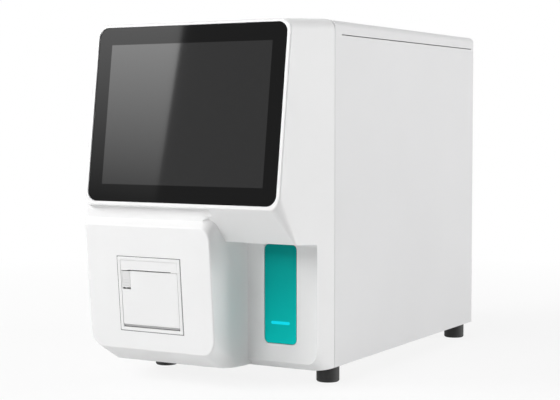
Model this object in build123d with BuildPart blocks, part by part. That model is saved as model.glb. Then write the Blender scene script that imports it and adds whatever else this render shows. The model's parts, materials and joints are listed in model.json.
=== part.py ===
"""Bench hematology analyzer: moulded front with touch screen, printer and sampling bay, sheet-metal case.

Millimetres. +X is the operator's right, the front faces -Y and the bench is z = 0.
"""
import os
from math import cos, pi, radians, sin, tan

from build123d import *

os.makedirs("parts", exist_ok=True)

# Overall size
body_width = 257.3
rear_height = 411.0          # top of the rear cover
crown_rise = 1.5             # top of the front shell at the seam, above the rear cover
rear_length = 412.2          # from the seam to the rear face
foot_height = 19.0
shell_wall = 3.0             # moulded front shell
sheet = 1.5                  # steel covers and chassis
seam_gap = 0.8               # shadow gap between the front shell and the rear case
tongue_reach = 6.0           # tongue of the front shell, in front of the seam
bulkhead_back = 4.0          # from the seam to the bulkhead's front face
fit_gap = 0.3                # clearance between neighbouring fixed pieces

# Screen, leaning back from its foot
screen_tilt = 7.92
glass_side = 5.0             # white rim beside the glass
glass_height = 197.7
glass_radius = 12.0
glass_thickness = 2.0
glass_foot_height = 208.0
glass_foot_reach = 123.3     # in front of the seam
display_width = 211.2        # visible picture, 4 to 3
display_height = 158.4
rim_rise = 1.3               # white rim, proud of the glass
rim_head = 3.0               # rim above the glass
rim_foot = 4.0               # rim below the glass
rim_rounding = 2.0
screen_wall = 7.0            # rim front to the back of the screen ledge
crown_radius = 13.0
rim_corner_radius = 12.0     # lower corners of the rim, fading to the bay lip
lip_radius = 1.5

# Sampling bay, cut from the right column
bay_lip_reach = 88.9
bay_lip_height = 165.3
bay_wall_reach = 41.2
bay_ceiling_height = 162.0   # where the ceiling meets the back wall
bay_corner_radius = 3.5
wall_foot_height = 27.8
wall_chamfer_run = 13.4
column_corner_radius = 13.0

# Printer block, left of the bay
bay_width = 89.15            # from the body's right side to the block
block_foot_reach = 111.0
block_foot_height = 40.2
face_lean = 4.95
face_length = 141.5          # foot edge to shoulder, along the face
neck_reach = 116.5
neck_foot_height = 189.0
neck_head_height = 203.0
block_chamfer_run = 33.0
block_base_height = 21.5
block_foot_radius = 16.0     # rounding of both slanted foot corners
shoulder_radius = 12.0
face_rounding = 2.0

# Printer
printer_size = 84.4          # square bezel
printer_inset = 82.5         # from the block's side to the printer's centre line
printer_centre_up = 63.8     # bezel centre above the face's foot, along the face
bezel_border = 3.8
bezel_rise = 0.6
bezel_thickness = 2.0
bezel_gap = 0.6              # outline gap between bezel and block face
door_width = 75.8
door_head_up = 90.0          # door top and foot, above the face's foot
door_foot_up = 28.3
door_face = 0.3              # door's outer face, proud of the block face
door_thickness = 2.5
door_joint = 0.5             # line between door and head cover
door_hinge_up = 30.5
door_hinge_depth = 3.2
door_pin = 2.4
paper_width = 57.0
paper_slot_width = 59.7
paper_slot = 1.3
roll_diameter = 46.0
core_diameter = 17.0
core_wall = 2.0
platen_diameter = 9.0
platen_shaft = 4.0
platen_up = 84.5             # platen axis above the face's foot and behind the face
platen_depth = 7.0
lever_width = 10.4
lever_x = -31.3              # lever centre, from the printer's centre line
lever_head_up = 89.6
lever_foot_up = 71.0
lever_pivot_up = 86.5
lever_pin = 1.6
lever_swing = 25.0
bucket_wall = 1.6
bucket_depth = 54.6
door_swing = 70.0

# Aspirate key and its light
key_width = 40.6
key_inset = 46.85            # from the body's right side to the key's centre line
key_foot_height = 48.7
key_head_height = 160.2
key_radius = 5.5
key_gap = 0.6
key_clear = 1.0              # room in front of the key's head, which tips out as its foot goes in
key_thickness = 2.5
light_width = 24.2
light_height = 3.5
light_foot_height = 70.2
key_press = 1.2              # degrees
key_pin = 3.0

# Sample probe
needle_diameter = 1.6
needle_bore = 0.9
needle_reach = 67.0          # in front of the seam
needle_tip_height = 171.0
probe_stroke = 75.0
traverse_stroke = 132.0
port_bore = 9.0
rod_diameter = 6.0
rod_spacing = 44.0
rod_height = 318.0
running_clearance = 0.05

# Rear case
cover_radius = 7.5
cover_skirt = 15.5           # height of the top cover's skirt
panel_line = 1.0             # shadow line between skirt and side panel
panel_line_start = 17.3      # from the seam
panel_line_end = 11.4        # from the rear face
panel_bend = 2.5
panel_return = 12.0
foot_diameter = 26.6
foot_inset = 16.65           # from the side of the body to a foot's centre
front_foot_back = 15.6       # from the seam
rear_foot_inset = 24.6       # from the rear face
shelf_height = 225.0

# Services on the rear
spigot_reach = 14.0
spigot_diameter = 5.0
spigot_bore = 3.0
spigot_spacing = 22.0
spigot_x = 50.0
spigot_height = 62.0
fan_size = 80.0
fan_depth = 25.0
fan_bore = 74.0
fan_hub = 32.0
fan_inset = 66.65            # from the body's right side
fan_drop = 71.0              # below the top of the rear cover
inlet_x = -78.0
inlet_height = 62.0
inlet_width = 27.0           # socket for a three-pin mains coupler
inlet_tall = 19.5
inlet_depth = 18.0
rocker_width = 13.0
rocker_tall = 19.0
rocker_swing = 20.0

crown_height = rear_height + crown_rise
cover_skirt_height = rear_height - cover_skirt
glass_width = body_width - 2 * glass_side
foot_x = body_width / 2 - foot_inset
block_side = body_width / 2 - bay_width
printer_x = block_side - printer_inset
key_x = body_width / 2 - key_inset
fan_height = rear_height - fan_drop
fan_x = body_width / 2 - fan_inset
half = body_width / 2
tilt = radians(screen_tilt)
lean = radians(face_lean)
nose_reach = glass_foot_reach + rim_rise * cos(tilt) + rim_foot * sin(tilt)
y_seam = (nose_reach - rear_length - spigot_reach) / 2
y_rear = y_seam + rear_length
y_wall = y_seam - bay_wall_reach
y_neck = y_seam - neck_reach
y_block_foot = y_seam - block_foot_reach

glass_plane = Plane(
    origin=(0, y_seam - glass_foot_reach, glass_foot_height), x_dir=(1, 0, 0),
    z_dir=(0, -cos(tilt), sin(tilt))
)
rim_plane = glass_plane.offset(rim_rise)
face_plane = Plane(
    origin=(printer_x, y_block_foot, block_foot_height), x_dir=(1, 0, 0), z_dir=(0, -cos(lean), -sin(lean))
)


def facing_front(y):
    """Sketch plane at y, drawn in x and z, that grows towards the front."""
    return Plane.XZ.offset(-y)


def facing_right(x):
    """Sketch plane at x, drawn in y and z, that grows towards +X."""
    return Plane.YZ.offset(x)


def level(z):
    return Plane.XY.offset(z)


def on_plane(plane, up, out=0.0):
    """The y and z of a point on the middle line of a leaning plane."""
    point = plane.from_local_coords((0, up, out))
    return (point.Y, point.Z)


def write_part(piece, label):
    piece.part.label = label
    export_step(piece.part, f"parts/{label}.step")


def block(x, y, z, mode=Mode.ADD):
    """Block that fills the given ranges of x, y and z, in the part being built."""
    with BuildSketch(level(z[0])) as foot:
        with Locations(((x[0] + x[1]) / 2, (y[0] + y[1]) / 2)):
            Rectangle(x[1] - x[0], y[1] - y[0])
    extrude(foot.sketch, amount=z[1] - z[0], mode=mode)


def rod(plane, centre, diameter, length, bore=0.0, mode=Mode.ADD):
    """Round rod, or tube where it has a bore, that grows from a plane, in the part being built."""
    with BuildSketch(plane) as disc:
        with Locations(centre):
            Circle(diameter / 2)
            if bore:
                Circle(bore / 2, mode=Mode.SUBTRACT)
    extrude(disc.sketch, amount=length, mode=mode)


# Side outlines of the front shell
def crown_at(y):
    """Height of the sloping crown at y."""
    crown_y, crown_z = on_plane(rim_plane, glass_height + rim_head)
    return crown_z + (y - crown_y) * (crown_height - crown_z) / (y_seam - crown_y)


def head_outline(back):
    """Screen head, bay lip, bay ceiling and column, closed `back` behind the seam."""
    return [
        (y_seam + back, foot_height),
        (y_seam + back, crown_at(y_seam + back)),
        on_plane(rim_plane, glass_height + rim_head),
        on_plane(rim_plane, -rim_foot),
        (y_seam - bay_lip_reach, bay_lip_height),
        (y_wall, bay_ceiling_height),
        (y_wall, wall_foot_height),
        (y_wall + wall_chamfer_run, foot_height),
    ]


face_foot = (y_block_foot, block_foot_height)
face_head = on_plane(face_plane, face_length)
block_back = y_seam - 10.0


def block_outline():
    return [
        (block_back, block_base_height),
        (y_block_foot + block_chamfer_run, block_base_height),
        face_foot,
        face_head,
        (y_neck, neck_foot_height),
        (y_neck, neck_head_height + shell_wall),
        (block_back, neck_head_height + shell_wall),
    ]


def inward_normal(start, end):
    """Unit normal, towards the solid, of an outline edge walked from the foot upwards on the front side."""
    dy = end[0] - start[0]
    dz = end[1] - start[1]
    size = (dy * dy + dz * dz) ** 0.5
    return Vector(0, dz / size, -dy / size)


def spandrel(radius):
    """What a rounding of this radius takes off a square corner at the origin, with 1 mm of overshoot."""
    over = 1.0
    near = radius * (1 - cos(pi / 4))
    with BuildSketch() as corner:
        with BuildLine():
            arc = ThreePointArc((radius, 0), (near, near), (0, radius))
            Polyline(arc @ 1, (-over, radius), (-over, -over), (radius, -over), arc @ 0)
        make_face()
    return corner.sketch


def edge_cutter(start, end, side, x_side, inset, radii, overruns):
    """Rounds a slanted edge between a side of the shell and an outline edge.

    start and end are outline points and side is -1 or 1 for the side at x_side. The rounding
    grows evenly from the first of radii at start to the second at end, and on past both ends.
    """
    into_side = Vector(-side, 0, 0)
    into_face = inward_normal(start, end)
    run = Vector(0, end[0] - start[0], end[1] - start[1])
    growth = (radii[1] - radii[0]) / run.length
    along = run.normalized()
    shift = (into_side + into_face) * inset
    with BuildPart() as cutter:
        for point, radius, beyond in zip((start, end), radii, (-overruns[0], overruns[1])):
            origin = Vector(x_side, *point) + shift + along * beyond
            with BuildSketch(Plane(origin=origin, x_dir=into_side, z_dir=into_side.cross(into_face))):
                add(spandrel(max(radius + growth * beyond - inset, 0.5)))
        loft(ruled=True)
    return cutter.part


def edge_at(piece, y, z):
    """The edge along X that lies nearest to y and z."""
    return piece.edges().filter_by(Axis.X).sort_by_distance((0, y, z))[0]


def head_form(inset, back):
    """Full-width head and right column, drawn inset inside itself."""
    outline = head_outline(back)
    nose, lip = outline[3], outline[4]
    wall_foot, column_foot = outline[6], outline[7]
    cutters = [
        edge_cutter(lip, nose, side, side * half, inset, (lip_radius, rim_corner_radius), (2, 16))
        for side in (-1, 1)
    ]
    cutters.append(
        edge_cutter(
            column_foot, wall_foot, 1, half, inset, (column_corner_radius, column_corner_radius), (30, 30)
        )
    )
    with BuildPart() as head:
        with BuildSketch(facing_right(-half + inset)):
            with BuildLine():
                Polyline(*outline, close=True)
            make_face()
            if inset:
                offset(amount=-inset, kind=Kind.INTERSECTION)
        extrude(amount=body_width - 2 * inset)
        crown_edges = head.edges().filter_by(Axis.X, reverse=True).group_by(Axis.Z)[-1]
        fillet(crown_edges, crown_radius - inset)
        for cutter in cutters:
            add(cutter, mode=Mode.SUBTRACT)
        if not inset:
            rim_middle = rim_plane.from_local_coords((0, glass_height / 2, 0))
            rim_face = head.faces().sort_by_distance(rim_middle)[0]
            fillet(rim_face.edges(), rim_rounding)
            fillet(edge_at(head, *outline[5]), bay_corner_radius)
        # Left of the bay the lip gives way to the neck of the printer block
        with BuildSketch(facing_right(-half - 1)):
            with BuildLine():
                low = bay_lip_height - 20
                Polyline(
                    (y_neck + inset, low),
                    (y_neck + inset, neck_head_height + inset),
                    (y_neck - 40, neck_head_height + inset),
                    (y_neck - 40, low),
                    close=True,
                )
            make_face()
        extrude(amount=half + 1 + block_side + inset, mode=Mode.SUBTRACT)
    return head.part


def block_form(inset):
    """Printer block with slanted foot, leaning face, shoulder and neck, drawn inset inside itself."""
    outline = block_outline()
    foot_back, shoulder_top = outline[1], outline[4]
    cutters = [
        edge_cutter(
            foot_back, face_foot, side, x_side, inset, (block_foot_radius, block_foot_radius), (60, 60)
        )
        for side, x_side in ((-1, -half), (1, block_side))
    ]
    cutters.append(
        edge_cutter(
            face_head, shoulder_top, 1, block_side, inset, (shoulder_radius, shoulder_radius), (40, 40)
        )
    )
    neck_top = outline[5]
    cutters.append(
        edge_cutter(
            shoulder_top, neck_top, 1, block_side, inset, (shoulder_radius, shoulder_radius), (1, 20)
        )
    )
    with BuildPart() as block:
        with BuildSketch(facing_right(-half + inset)):
            with BuildLine():
                Polyline(*outline, close=True)
            make_face()
            if inset:
                offset(amount=-inset, kind=Kind.INTERSECTION)
        extrude(amount=half + block_side - 2 * inset)
        for cutter in cutters:
            add(cutter, mode=Mode.SUBTRACT)
        if not inset:
            face_middle = face_plane.from_local_coords((0, face_length / 2, 0))
            front_face = block.faces().sort_by_distance(face_middle)[0]
            fillet(front_face.edges(), face_rounding)
    return block.part


# Front shell
glass_gap = 0.2
window_margin = 2.0
bezel_opening = printer_size - 2 * bezel_border
bucket_size = bezel_opening + 2 * bucket_wall
needle_y = y_seam - needle_reach
head_outer = head_form(0, 0)
block_outer = block_form(0)
head_inner = head_form(shell_wall, 12)
block_inner = block_form(shell_wall)

with BuildPart() as cavity:
    add(head_inner)
    add(block_inner)
    split(bisect_by=rim_plane.offset(-screen_wall), keep=Keep.BOTTOM)

with BuildPart() as front_shell:
    add(head_outer)
    add(block_outer)
    add(cavity.part, mode=Mode.SUBTRACT)
    with BuildSketch(rim_plane):
        with Locations((0, glass_height / 2)):
            RectangleRounded(
                glass_width + 2 * glass_gap, glass_height + 2 * glass_gap, glass_radius + glass_gap
            )
    extrude(amount=-rim_rise - glass_thickness, mode=Mode.SUBTRACT)
    with BuildSketch(rim_plane):
        with Locations((0, glass_height / 2)):
            Rectangle(display_width + 2 * window_margin, display_height + 2 * window_margin)
    extrude(amount=-screen_wall - 1, mode=Mode.SUBTRACT)
    # Printer opening with a shallow ledge for the bezel
    with BuildSketch(face_plane):
        with Locations((0, printer_centre_up)):
            Rectangle(printer_size + 2 * bezel_gap, printer_size + 2 * bezel_gap)
    extrude(amount=bezel_rise - bezel_thickness, mode=Mode.SUBTRACT)
    with BuildSketch(face_plane):
        with Locations((0, printer_centre_up)):
            Rectangle(bucket_size + 2 * fit_gap, bucket_size + 2 * fit_gap)
    extrude(amount=-shell_wall - 2, mode=Mode.SUBTRACT)
    # Slot for the aspirate key and port for the probe
    with BuildSketch(facing_front(y_wall - key_clear)):
        with Locations((key_x, (key_foot_height + key_head_height) / 2)):
            RectangleRounded(
                key_width + 2 * key_gap, key_head_height - key_foot_height + 2 * key_gap,
                key_radius + key_gap
            )
    extrude(amount=-shell_wall - 1 - key_clear, mode=Mode.SUBTRACT)
    with BuildSketch(level(bay_ceiling_height - 5)):
        with Locations((key_x, needle_y)):
            Circle(port_bore / 2 + 2)
    extrude(amount=15, mode=Mode.SUBTRACT)
    # Tongue behind the seam, a step inside the case, that seats on the bulkhead
    tongue = (
        (1.0, -tongue_reach, 0.0),
        (sheet + fit_gap, -tongue_reach, bulkhead_back),
    )
    for inset, start, end in tongue:
        with BuildSketch(facing_front(y_seam + end)) as ring:
            with Locations((0, (foot_height + rear_height) / 2)):
                Rectangle(body_width - 2 * inset, rear_height - foot_height - 2 * inset)
                fillet(ring.vertices().group_by(Axis.Z)[-1], crown_radius - inset)
                Rectangle(
                    body_width - 2 * (shell_wall + 1.5), rear_height - foot_height - 2 * (shell_wall + 1.5),
                    mode=Mode.SUBTRACT,
                )
        extrude(amount=end - start)
write_part(front_shell, "front_shell")

# Touch screen
with BuildPart() as touch_glass:
    with BuildSketch(glass_plane):
        with Locations((0, glass_height / 2)):
            RectangleRounded(glass_width, glass_height, glass_radius)
    extrude(amount=-glass_thickness)
    glass_middle = glass_plane.from_local_coords((0, glass_height / 2, 0))
    chamfer(touch_glass.faces().sort_by_distance(glass_middle)[0].edges(), 0.3)
write_part(touch_glass, "touch_glass")

display_case_thickness = 7.5
display_border = 6.0
ledge_depth = screen_wall - rim_rise           # from the glass front to the back of the screen ledge
with BuildPart() as display_module:
    with BuildSketch(glass_plane.offset(-ledge_depth)):
        with Locations((0, glass_height / 2)):
            Rectangle(display_width + 2 * display_border, display_height + 2 * display_border)
    extrude(amount=-display_case_thickness)
    with BuildSketch(glass_plane.offset(-glass_thickness)):
        with Locations((0, glass_height / 2)):
            Rectangle(display_width, display_height)
    extrude(amount=glass_thickness - ledge_depth)
write_part(display_module, "display_module")

# Sheet tray that clamps the display against the back of the screen ledge
tray_lip = 6.0
with BuildPart() as display_bracket:
    with BuildSketch(glass_plane.offset(-ledge_depth)):
        with Locations((0, glass_height / 2)):
            Rectangle(
                display_width + 2 * display_border + 2 * tray_lip,
                display_height + 2 * display_border + 2 * sheet
            )
    extrude(amount=-display_case_thickness - sheet)
    with BuildSketch(glass_plane.offset(-ledge_depth)):
        with Locations((0, glass_height / 2)):
            Rectangle(display_width + 2 * display_border, display_height + 2 * display_border)
    extrude(amount=-display_case_thickness, mode=Mode.SUBTRACT)
    with BuildSketch(glass_plane.offset(-ledge_depth)):
        with Locations((0, glass_height / 2)):
            with GridLocations(display_width / 2, display_height / 2, 2, 2):
                SlotOverall(60, 24)
    extrude(amount=-display_case_thickness - sheet, mode=Mode.SUBTRACT)
write_part(display_bracket, "display_bracket")

# Printer
with BuildPart() as printer_bezel:
    with BuildSketch(face_plane.offset(bezel_rise)):
        with Locations((0, printer_centre_up)):
            RectangleRounded(printer_size, printer_size, 1.2)
            Rectangle(bezel_opening, bezel_opening, mode=Mode.SUBTRACT)
    extrude(amount=-bezel_thickness)
    bezel_rail = face_plane.from_local_coords((0, printer_centre_up + printer_size / 2 - 1, bezel_rise))
    fillet(printer_bezel.faces().sort_by_distance(bezel_rail)[0].edges(), 0.5)
write_part(printer_bezel, "printer_bezel")

bezel_back = bezel_thickness - bezel_rise      # depth of the bezel's back below the face
opening_foot_up = printer_centre_up - bezel_opening / 2
opening_head_up = printer_centre_up + bezel_opening / 2
roll_up = opening_foot_up + roll_diameter / 2 + fit_gap
roll_depth = bucket_depth - bucket_wall - roll_diameter / 2 - fit_gap
printer_side = Plane(origin=face_plane.origin, x_dir=-face_plane.z_dir, z_dir=(1, 0, 0))


def printer_axis(depth, up):
    """A point on the printer's centre line, in the part's own frame."""
    return printer_side.from_local_coords((depth, up, 0))


def across(width, x=0.0):
    """Plane where something this wide starts, centred on x from the printer's centre line.

    Sketches there are drawn in depth behind the face and height up the face, and grow towards +X.
    """
    return printer_side.offset(x - width / 2)


# Tub behind the bezel, with a round cradle for the paper roll
with BuildPart() as bucket_space:
    with BuildSketch(across(bezel_opening)):
        with Locations(((bezel_back + bucket_depth - bucket_wall) / 2 - 1, printer_centre_up)):
            Rectangle(bucket_depth - bucket_wall - bezel_back + 2, bezel_opening)
    extrude(amount=bezel_opening)
    space_corner = printer_axis(bucket_depth - bucket_wall, opening_foot_up)
    fillet(edge_at(bucket_space, space_corner.Y, space_corner.Z), roll_diameter / 2 + fit_gap)

with BuildPart() as printer_bucket:
    with BuildSketch(across(bucket_size)):
        with Locations(((bezel_back + bucket_depth) / 2, printer_centre_up)):
            Rectangle(bucket_depth - bezel_back, bucket_size)
    extrude(amount=bucket_size)
    tub_corner = printer_axis(bucket_depth, opening_foot_up - bucket_wall)
    fillet(edge_at(printer_bucket, tub_corner.Y, tub_corner.Z), roll_diameter / 2 + fit_gap + bucket_wall)
    add(bucket_space.part, mode=Mode.SUBTRACT)
    with BuildSketch(across(bucket_size + 2)):
        with Locations((door_hinge_depth, door_hinge_up)):
            Circle(door_pin / 2 + running_clearance)
    extrude(amount=bucket_size + 2, mode=Mode.SUBTRACT)
write_part(printer_bucket, "printer_bucket")

# Head cover above the paper slot, with the thermal head behind it
cover_gap = 0.2
head_depth = 3.5
head_foot_up = platen_up + platen_diameter / 2 + 0.8
with BuildPart() as printer_head_cover:
    with BuildSketch(across(bezel_opening - 2 * cover_gap)):
        with BuildLine():
            Polyline(
                (-door_face, door_head_up + door_joint),
                (-door_face, opening_head_up - cover_gap),
                (head_depth, opening_head_up - cover_gap),
                (head_depth, door_head_up + door_joint),
                close=True,
            )
        make_face()
    extrude(amount=bezel_opening - 2 * cover_gap)
    with BuildSketch(across(paper_slot_width)):
        with Locations((head_depth / 2, door_head_up)):
            Rectangle(head_depth + 10, 2 * paper_slot)
    extrude(amount=paper_slot_width, mode=Mode.SUBTRACT)
write_part(printer_head_cover, "printer_head_cover")

thermal_head_width = 64.0
thermal_head_depth = 9.0
with BuildPart() as thermal_head:
    with BuildSketch(across(thermal_head_width)):
        with BuildLine():
            Polyline(
                (head_depth, head_foot_up + 2),
                (platen_depth - 1, head_foot_up),
                (platen_depth + 1, head_foot_up),
                (head_depth + thermal_head_depth, head_foot_up + 2),
                (head_depth + thermal_head_depth, opening_head_up),
                (head_depth, opening_head_up),
                close=True,
            )
        make_face()
    extrude(amount=thermal_head_width)
    with BuildSketch(across(thermal_head_width)):
        with Locations((head_depth + thermal_head_depth, opening_head_up - 4)):
            Rectangle(5, 3)
    extrude(amount=thermal_head_width, mode=Mode.SUBTRACT)
write_part(thermal_head, "thermal_head")

# Door: curved-edge panel with two cheeks that carry the platen, hinged on its own stub pins
cheek = 2.0
cheek_x = 34.5
lever_gap = 0.3
lever_window = lever_width + 2 * lever_gap
with BuildPart() as printer_door:
    with BuildSketch(across(door_width)):
        with BuildLine():
            Polyline(
                (-door_face, door_foot_up),
                (-door_face, door_head_up),
                (door_thickness - door_face, door_head_up),
                (door_thickness - door_face, door_foot_up),
                close=True,
            )
        make_face()
    extrude(amount=door_width)
    door_foot = printer_axis(-door_face, door_foot_up)
    fillet(edge_at(printer_door, door_foot.Y, door_foot.Z), 1.2)
    for side in (-1, 1):
        with BuildSketch(across(cheek, side * cheek_x)):
            with BuildLine():
                Polyline(
                    (door_thickness - door_face - 0.4, door_hinge_up - 1.5),
                    (door_thickness - door_face - 0.4, platen_up - 12),
                    (door_thickness - door_face + 1.2, platen_up - 9),
                    (door_thickness - door_face + 1.2, platen_up + 3),
                    (platen_depth + 3, platen_up + 3),
                    (platen_depth + 3, platen_up - 8),
                    (door_hinge_depth + 3, door_hinge_up + 8),
                    (door_hinge_depth + 2, door_hinge_up - 1.5),
                    close=True,
                )
            make_face()
        extrude(amount=cheek)
    # Ears on the hinge line, then the stub pins that turn in the tub's side walls
    for side in (-1, 1):
        with BuildSketch(across(cheek, side * (door_width / 2 - cheek / 2))):
            with Locations((door_hinge_depth, door_hinge_up)):
                Circle(2.2)
        extrude(amount=cheek)
        with BuildSketch(across(2 * bucket_wall, side * (door_width / 2 + fit_gap))):
            with Locations((door_hinge_depth, door_hinge_up)):
                Circle(door_pin / 2)
        extrude(amount=2 * bucket_wall)
    with BuildSketch(across(door_width)):
        with Locations((platen_depth, platen_up)):
            Circle(platen_shaft / 2 + running_clearance)
    extrude(amount=door_width, mode=Mode.SUBTRACT)
    # Window for the release lever, open at the top
    with BuildSketch(across(lever_window, lever_x)):
        with BuildLine():
            Polyline(
                (-5, lever_foot_up - 2),
                (-5, door_head_up + 1),
                (door_thickness - door_face + 0.6, door_head_up + 1),
                (door_thickness - door_face + 0.6, lever_foot_up - 2),
                close=True,
            )
        make_face()
    extrude(amount=lever_window, mode=Mode.SUBTRACT)
    with BuildSketch(across(lever_window + 2.2, lever_x)):
        with Locations((door_thickness / 2 - door_face, lever_pivot_up)):
            Circle(lever_pin / 2 + running_clearance)
    extrude(amount=lever_window + 2.2, mode=Mode.SUBTRACT)
write_part(printer_door, "printer_door")

lever_thickness = door_thickness - 0.3
with BuildPart() as release_lever:
    with BuildSketch(across(lever_width, lever_x)):
        with BuildLine():
            Polyline(
                (-door_face, lever_foot_up),
                (-door_face, lever_head_up),
                (lever_thickness - door_face, lever_head_up),
                (lever_thickness - door_face, lever_foot_up + 2.5),
                (lever_thickness - door_face - 1.0, lever_foot_up),
                close=True,
            )
        make_face()
    extrude(amount=lever_width)
    with BuildSketch(across(lever_width + 2, lever_x)):
        with Locations((door_thickness / 2 - door_face, lever_pivot_up)):
            Circle(lever_pin / 2)
    extrude(amount=lever_width + 2)
    for row in range(3):
        with BuildSketch(across(lever_width - 2, lever_x)):
            with Locations((-door_face, lever_foot_up + 2.6 + 3.2 * row)):
                Rectangle(0.8, 0.9)
        extrude(amount=lever_width - 2, mode=Mode.SUBTRACT)
write_part(release_lever, "release_lever")

platen_shaft_length = 2 * cheek_x + cheek + 1.6
platen_face = paper_width + 1
platen_teeth = 16
gear_width = 3.0
gear_x = platen_face / 2 + gear_width / 2 + 0.5
with BuildPart() as platen_axle:
    with BuildSketch(across(platen_shaft_length)):
        with Locations((platen_depth, platen_up)):
            Circle(platen_shaft / 2)
    extrude(amount=platen_shaft_length)
    with BuildSketch(across(gear_width, gear_x)):
        with Locations((platen_depth, platen_up)):
            Circle(platen_diameter / 2 - 0.7)
            with PolarLocations(platen_diameter / 2 - 0.5, platen_teeth):
                Rectangle(1.6, 0.8)
    extrude(amount=gear_width)
write_part(platen_axle, "platen_axle")

with BuildPart() as platen_roller:
    with BuildSketch(across(platen_face)):
        with Locations((platen_depth, platen_up)):
            Circle(platen_diameter / 2)
            Circle(platen_shaft / 2, mode=Mode.SUBTRACT)
    extrude(amount=platen_face)
write_part(platen_roller, "platen_roller")

with BuildPart() as paper_roll:
    with BuildSketch(across(paper_width)):
        with Locations((roll_depth, roll_up)):
            Circle(roll_diameter / 2)
            Circle(core_diameter / 2, mode=Mode.SUBTRACT)
    extrude(amount=paper_width)
write_part(paper_roll, "paper_roll")

with BuildPart() as paper_core:
    with BuildSketch(across(paper_width + 0.4)):
        with Locations((roll_depth, roll_up)):
            Circle(core_diameter / 2)
            Circle(core_diameter / 2 - core_wall, mode=Mode.SUBTRACT)
    extrude(amount=paper_width + 0.4)
write_part(paper_core, "paper_core")

# Aspirate key, hung from a pin behind the bay wall
key_pivot_depth = 7.0
key_pivot_height = 152.0
key_lug = 5.0
key_lug_spacing = 24.0
bracket_depth = 14.0
bracket_ear_x = key_width / 2 + key_gap + 3
y_key_pivot = y_wall + key_pivot_depth
with BuildPart() as aspirate_key:
    with BuildSketch(facing_front(y_wall)):
        with Locations((key_x, (key_foot_height + key_head_height) / 2)):
            RectangleRounded(key_width, key_head_height - key_foot_height, key_radius)
    extrude(amount=-key_thickness)
    fillet(aspirate_key.faces().sort_by(Axis.Y)[0].edges(), 0.4)
    for side in (-1, 1):
        with BuildSketch(facing_right(key_x + side * key_lug_spacing / 2 - key_lug / 2)):
            with BuildLine():
                Polyline(
                    (y_wall + key_thickness - 0.5, key_pivot_height - 9),
                    (y_wall + key_thickness - 0.5, key_pivot_height + 6),
                    (y_key_pivot + 1, key_pivot_height + 3.5),
                    (y_key_pivot + 3, key_pivot_height),
                    (y_key_pivot + 1, key_pivot_height - 3.5),
                    close=True,
                )
            make_face()
        extrude(amount=key_lug)
    with BuildSketch(facing_right(key_x - key_width / 2)):
        with Locations((y_key_pivot, key_pivot_height)):
            Circle(key_pin / 2 + running_clearance)
    extrude(amount=key_width, mode=Mode.SUBTRACT)
    with BuildSketch(facing_front(y_wall)):
        with Locations((key_x, light_foot_height + light_height / 2)):
            SlotOverall(light_width, light_height)
    extrude(amount=-key_thickness, mode=Mode.SUBTRACT)
write_part(aspirate_key, "aspirate_key")

with BuildPart() as key_light_bar:
    with BuildSketch(facing_front(y_wall)):
        with Locations((key_x, light_foot_height + light_height / 2)):
            SlotOverall(light_width, light_height)
    extrude(amount=-key_thickness)
write_part(key_light_bar, "key_light_bar")

board = 1.2
with BuildPart() as key_light_board:
    with BuildSketch(facing_front(y_wall + key_thickness)):
        with Locations((key_x, light_foot_height + light_height / 2)):
            Rectangle(light_width + 6, 12)
    extrude(amount=-board)
write_part(key_light_board, "key_light_board")

with BuildPart() as key_pivot_pin:
    with BuildSketch(facing_right(key_x - bracket_ear_x - 3)):
        with Locations((y_key_pivot, key_pivot_height)):
            Circle(key_pin / 2)
    extrude(amount=2 * bracket_ear_x + 6)
write_part(key_pivot_pin, "key_pivot_pin")

y_bracket = y_wall + shell_wall
with BuildPart() as key_bracket:
    with BuildSketch(level(key_foot_height + 20)):
        with BuildLine():
            Polyline(
                (key_x - bracket_ear_x - 8, y_bracket),
                (key_x - bracket_ear_x, y_bracket),
                (key_x - bracket_ear_x, y_bracket + bracket_depth - 2),
                (key_x + bracket_ear_x, y_bracket + bracket_depth - 2),
                (key_x + bracket_ear_x, y_bracket),
                (key_x + bracket_ear_x + 8, y_bracket),
                (key_x + bracket_ear_x + 8, y_bracket + 2),
                (key_x + bracket_ear_x + 2, y_bracket + 2),
                (key_x + bracket_ear_x + 2, y_bracket + bracket_depth),
                (key_x - bracket_ear_x - 2, y_bracket + bracket_depth),
                (key_x - bracket_ear_x - 2, y_bracket + 2),
                (key_x - bracket_ear_x - 8, y_bracket + 2),
                close=True,
            )
        make_face()
    extrude(amount=key_pivot_height + 6 - key_foot_height - 20)
    with BuildSketch(facing_right(key_x - bracket_ear_x - 3)):
        with Locations((y_key_pivot, key_pivot_height)):
            Circle(key_pin / 2)
    extrude(amount=2 * bracket_ear_x + 6, mode=Mode.SUBTRACT)
    with BuildSketch(facing_front(y_bracket + bracket_depth - 3)):
        with Locations((key_x, 122)):
            SlotOverall(36, 20, rotation=90)
    extrude(amount=-4, mode=Mode.SUBTRACT)
write_part(key_bracket, "key_bracket")

# Snap-action switch on the bracket, its plunger just clear of the pressed key
switch_height = 96.0
press_travel = (key_pivot_height - switch_height) * tan(radians(key_press))
switch_plunger = 1.0
switch_front = y_wall + key_thickness + press_travel + switch_plunger + fit_gap
with BuildPart() as key_switch:
    with BuildSketch(facing_front(y_bracket + bracket_depth - 2)):
        with Locations((key_x, switch_height)):
            Rectangle(20, 10)
    extrude(amount=y_bracket + bracket_depth - 2 - switch_front)
    with BuildSketch(facing_front(switch_front)):
        with Locations((key_x, switch_height)):
            Circle(1.5)
    extrude(amount=switch_plunger)
write_part(key_switch, "key_switch")

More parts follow.
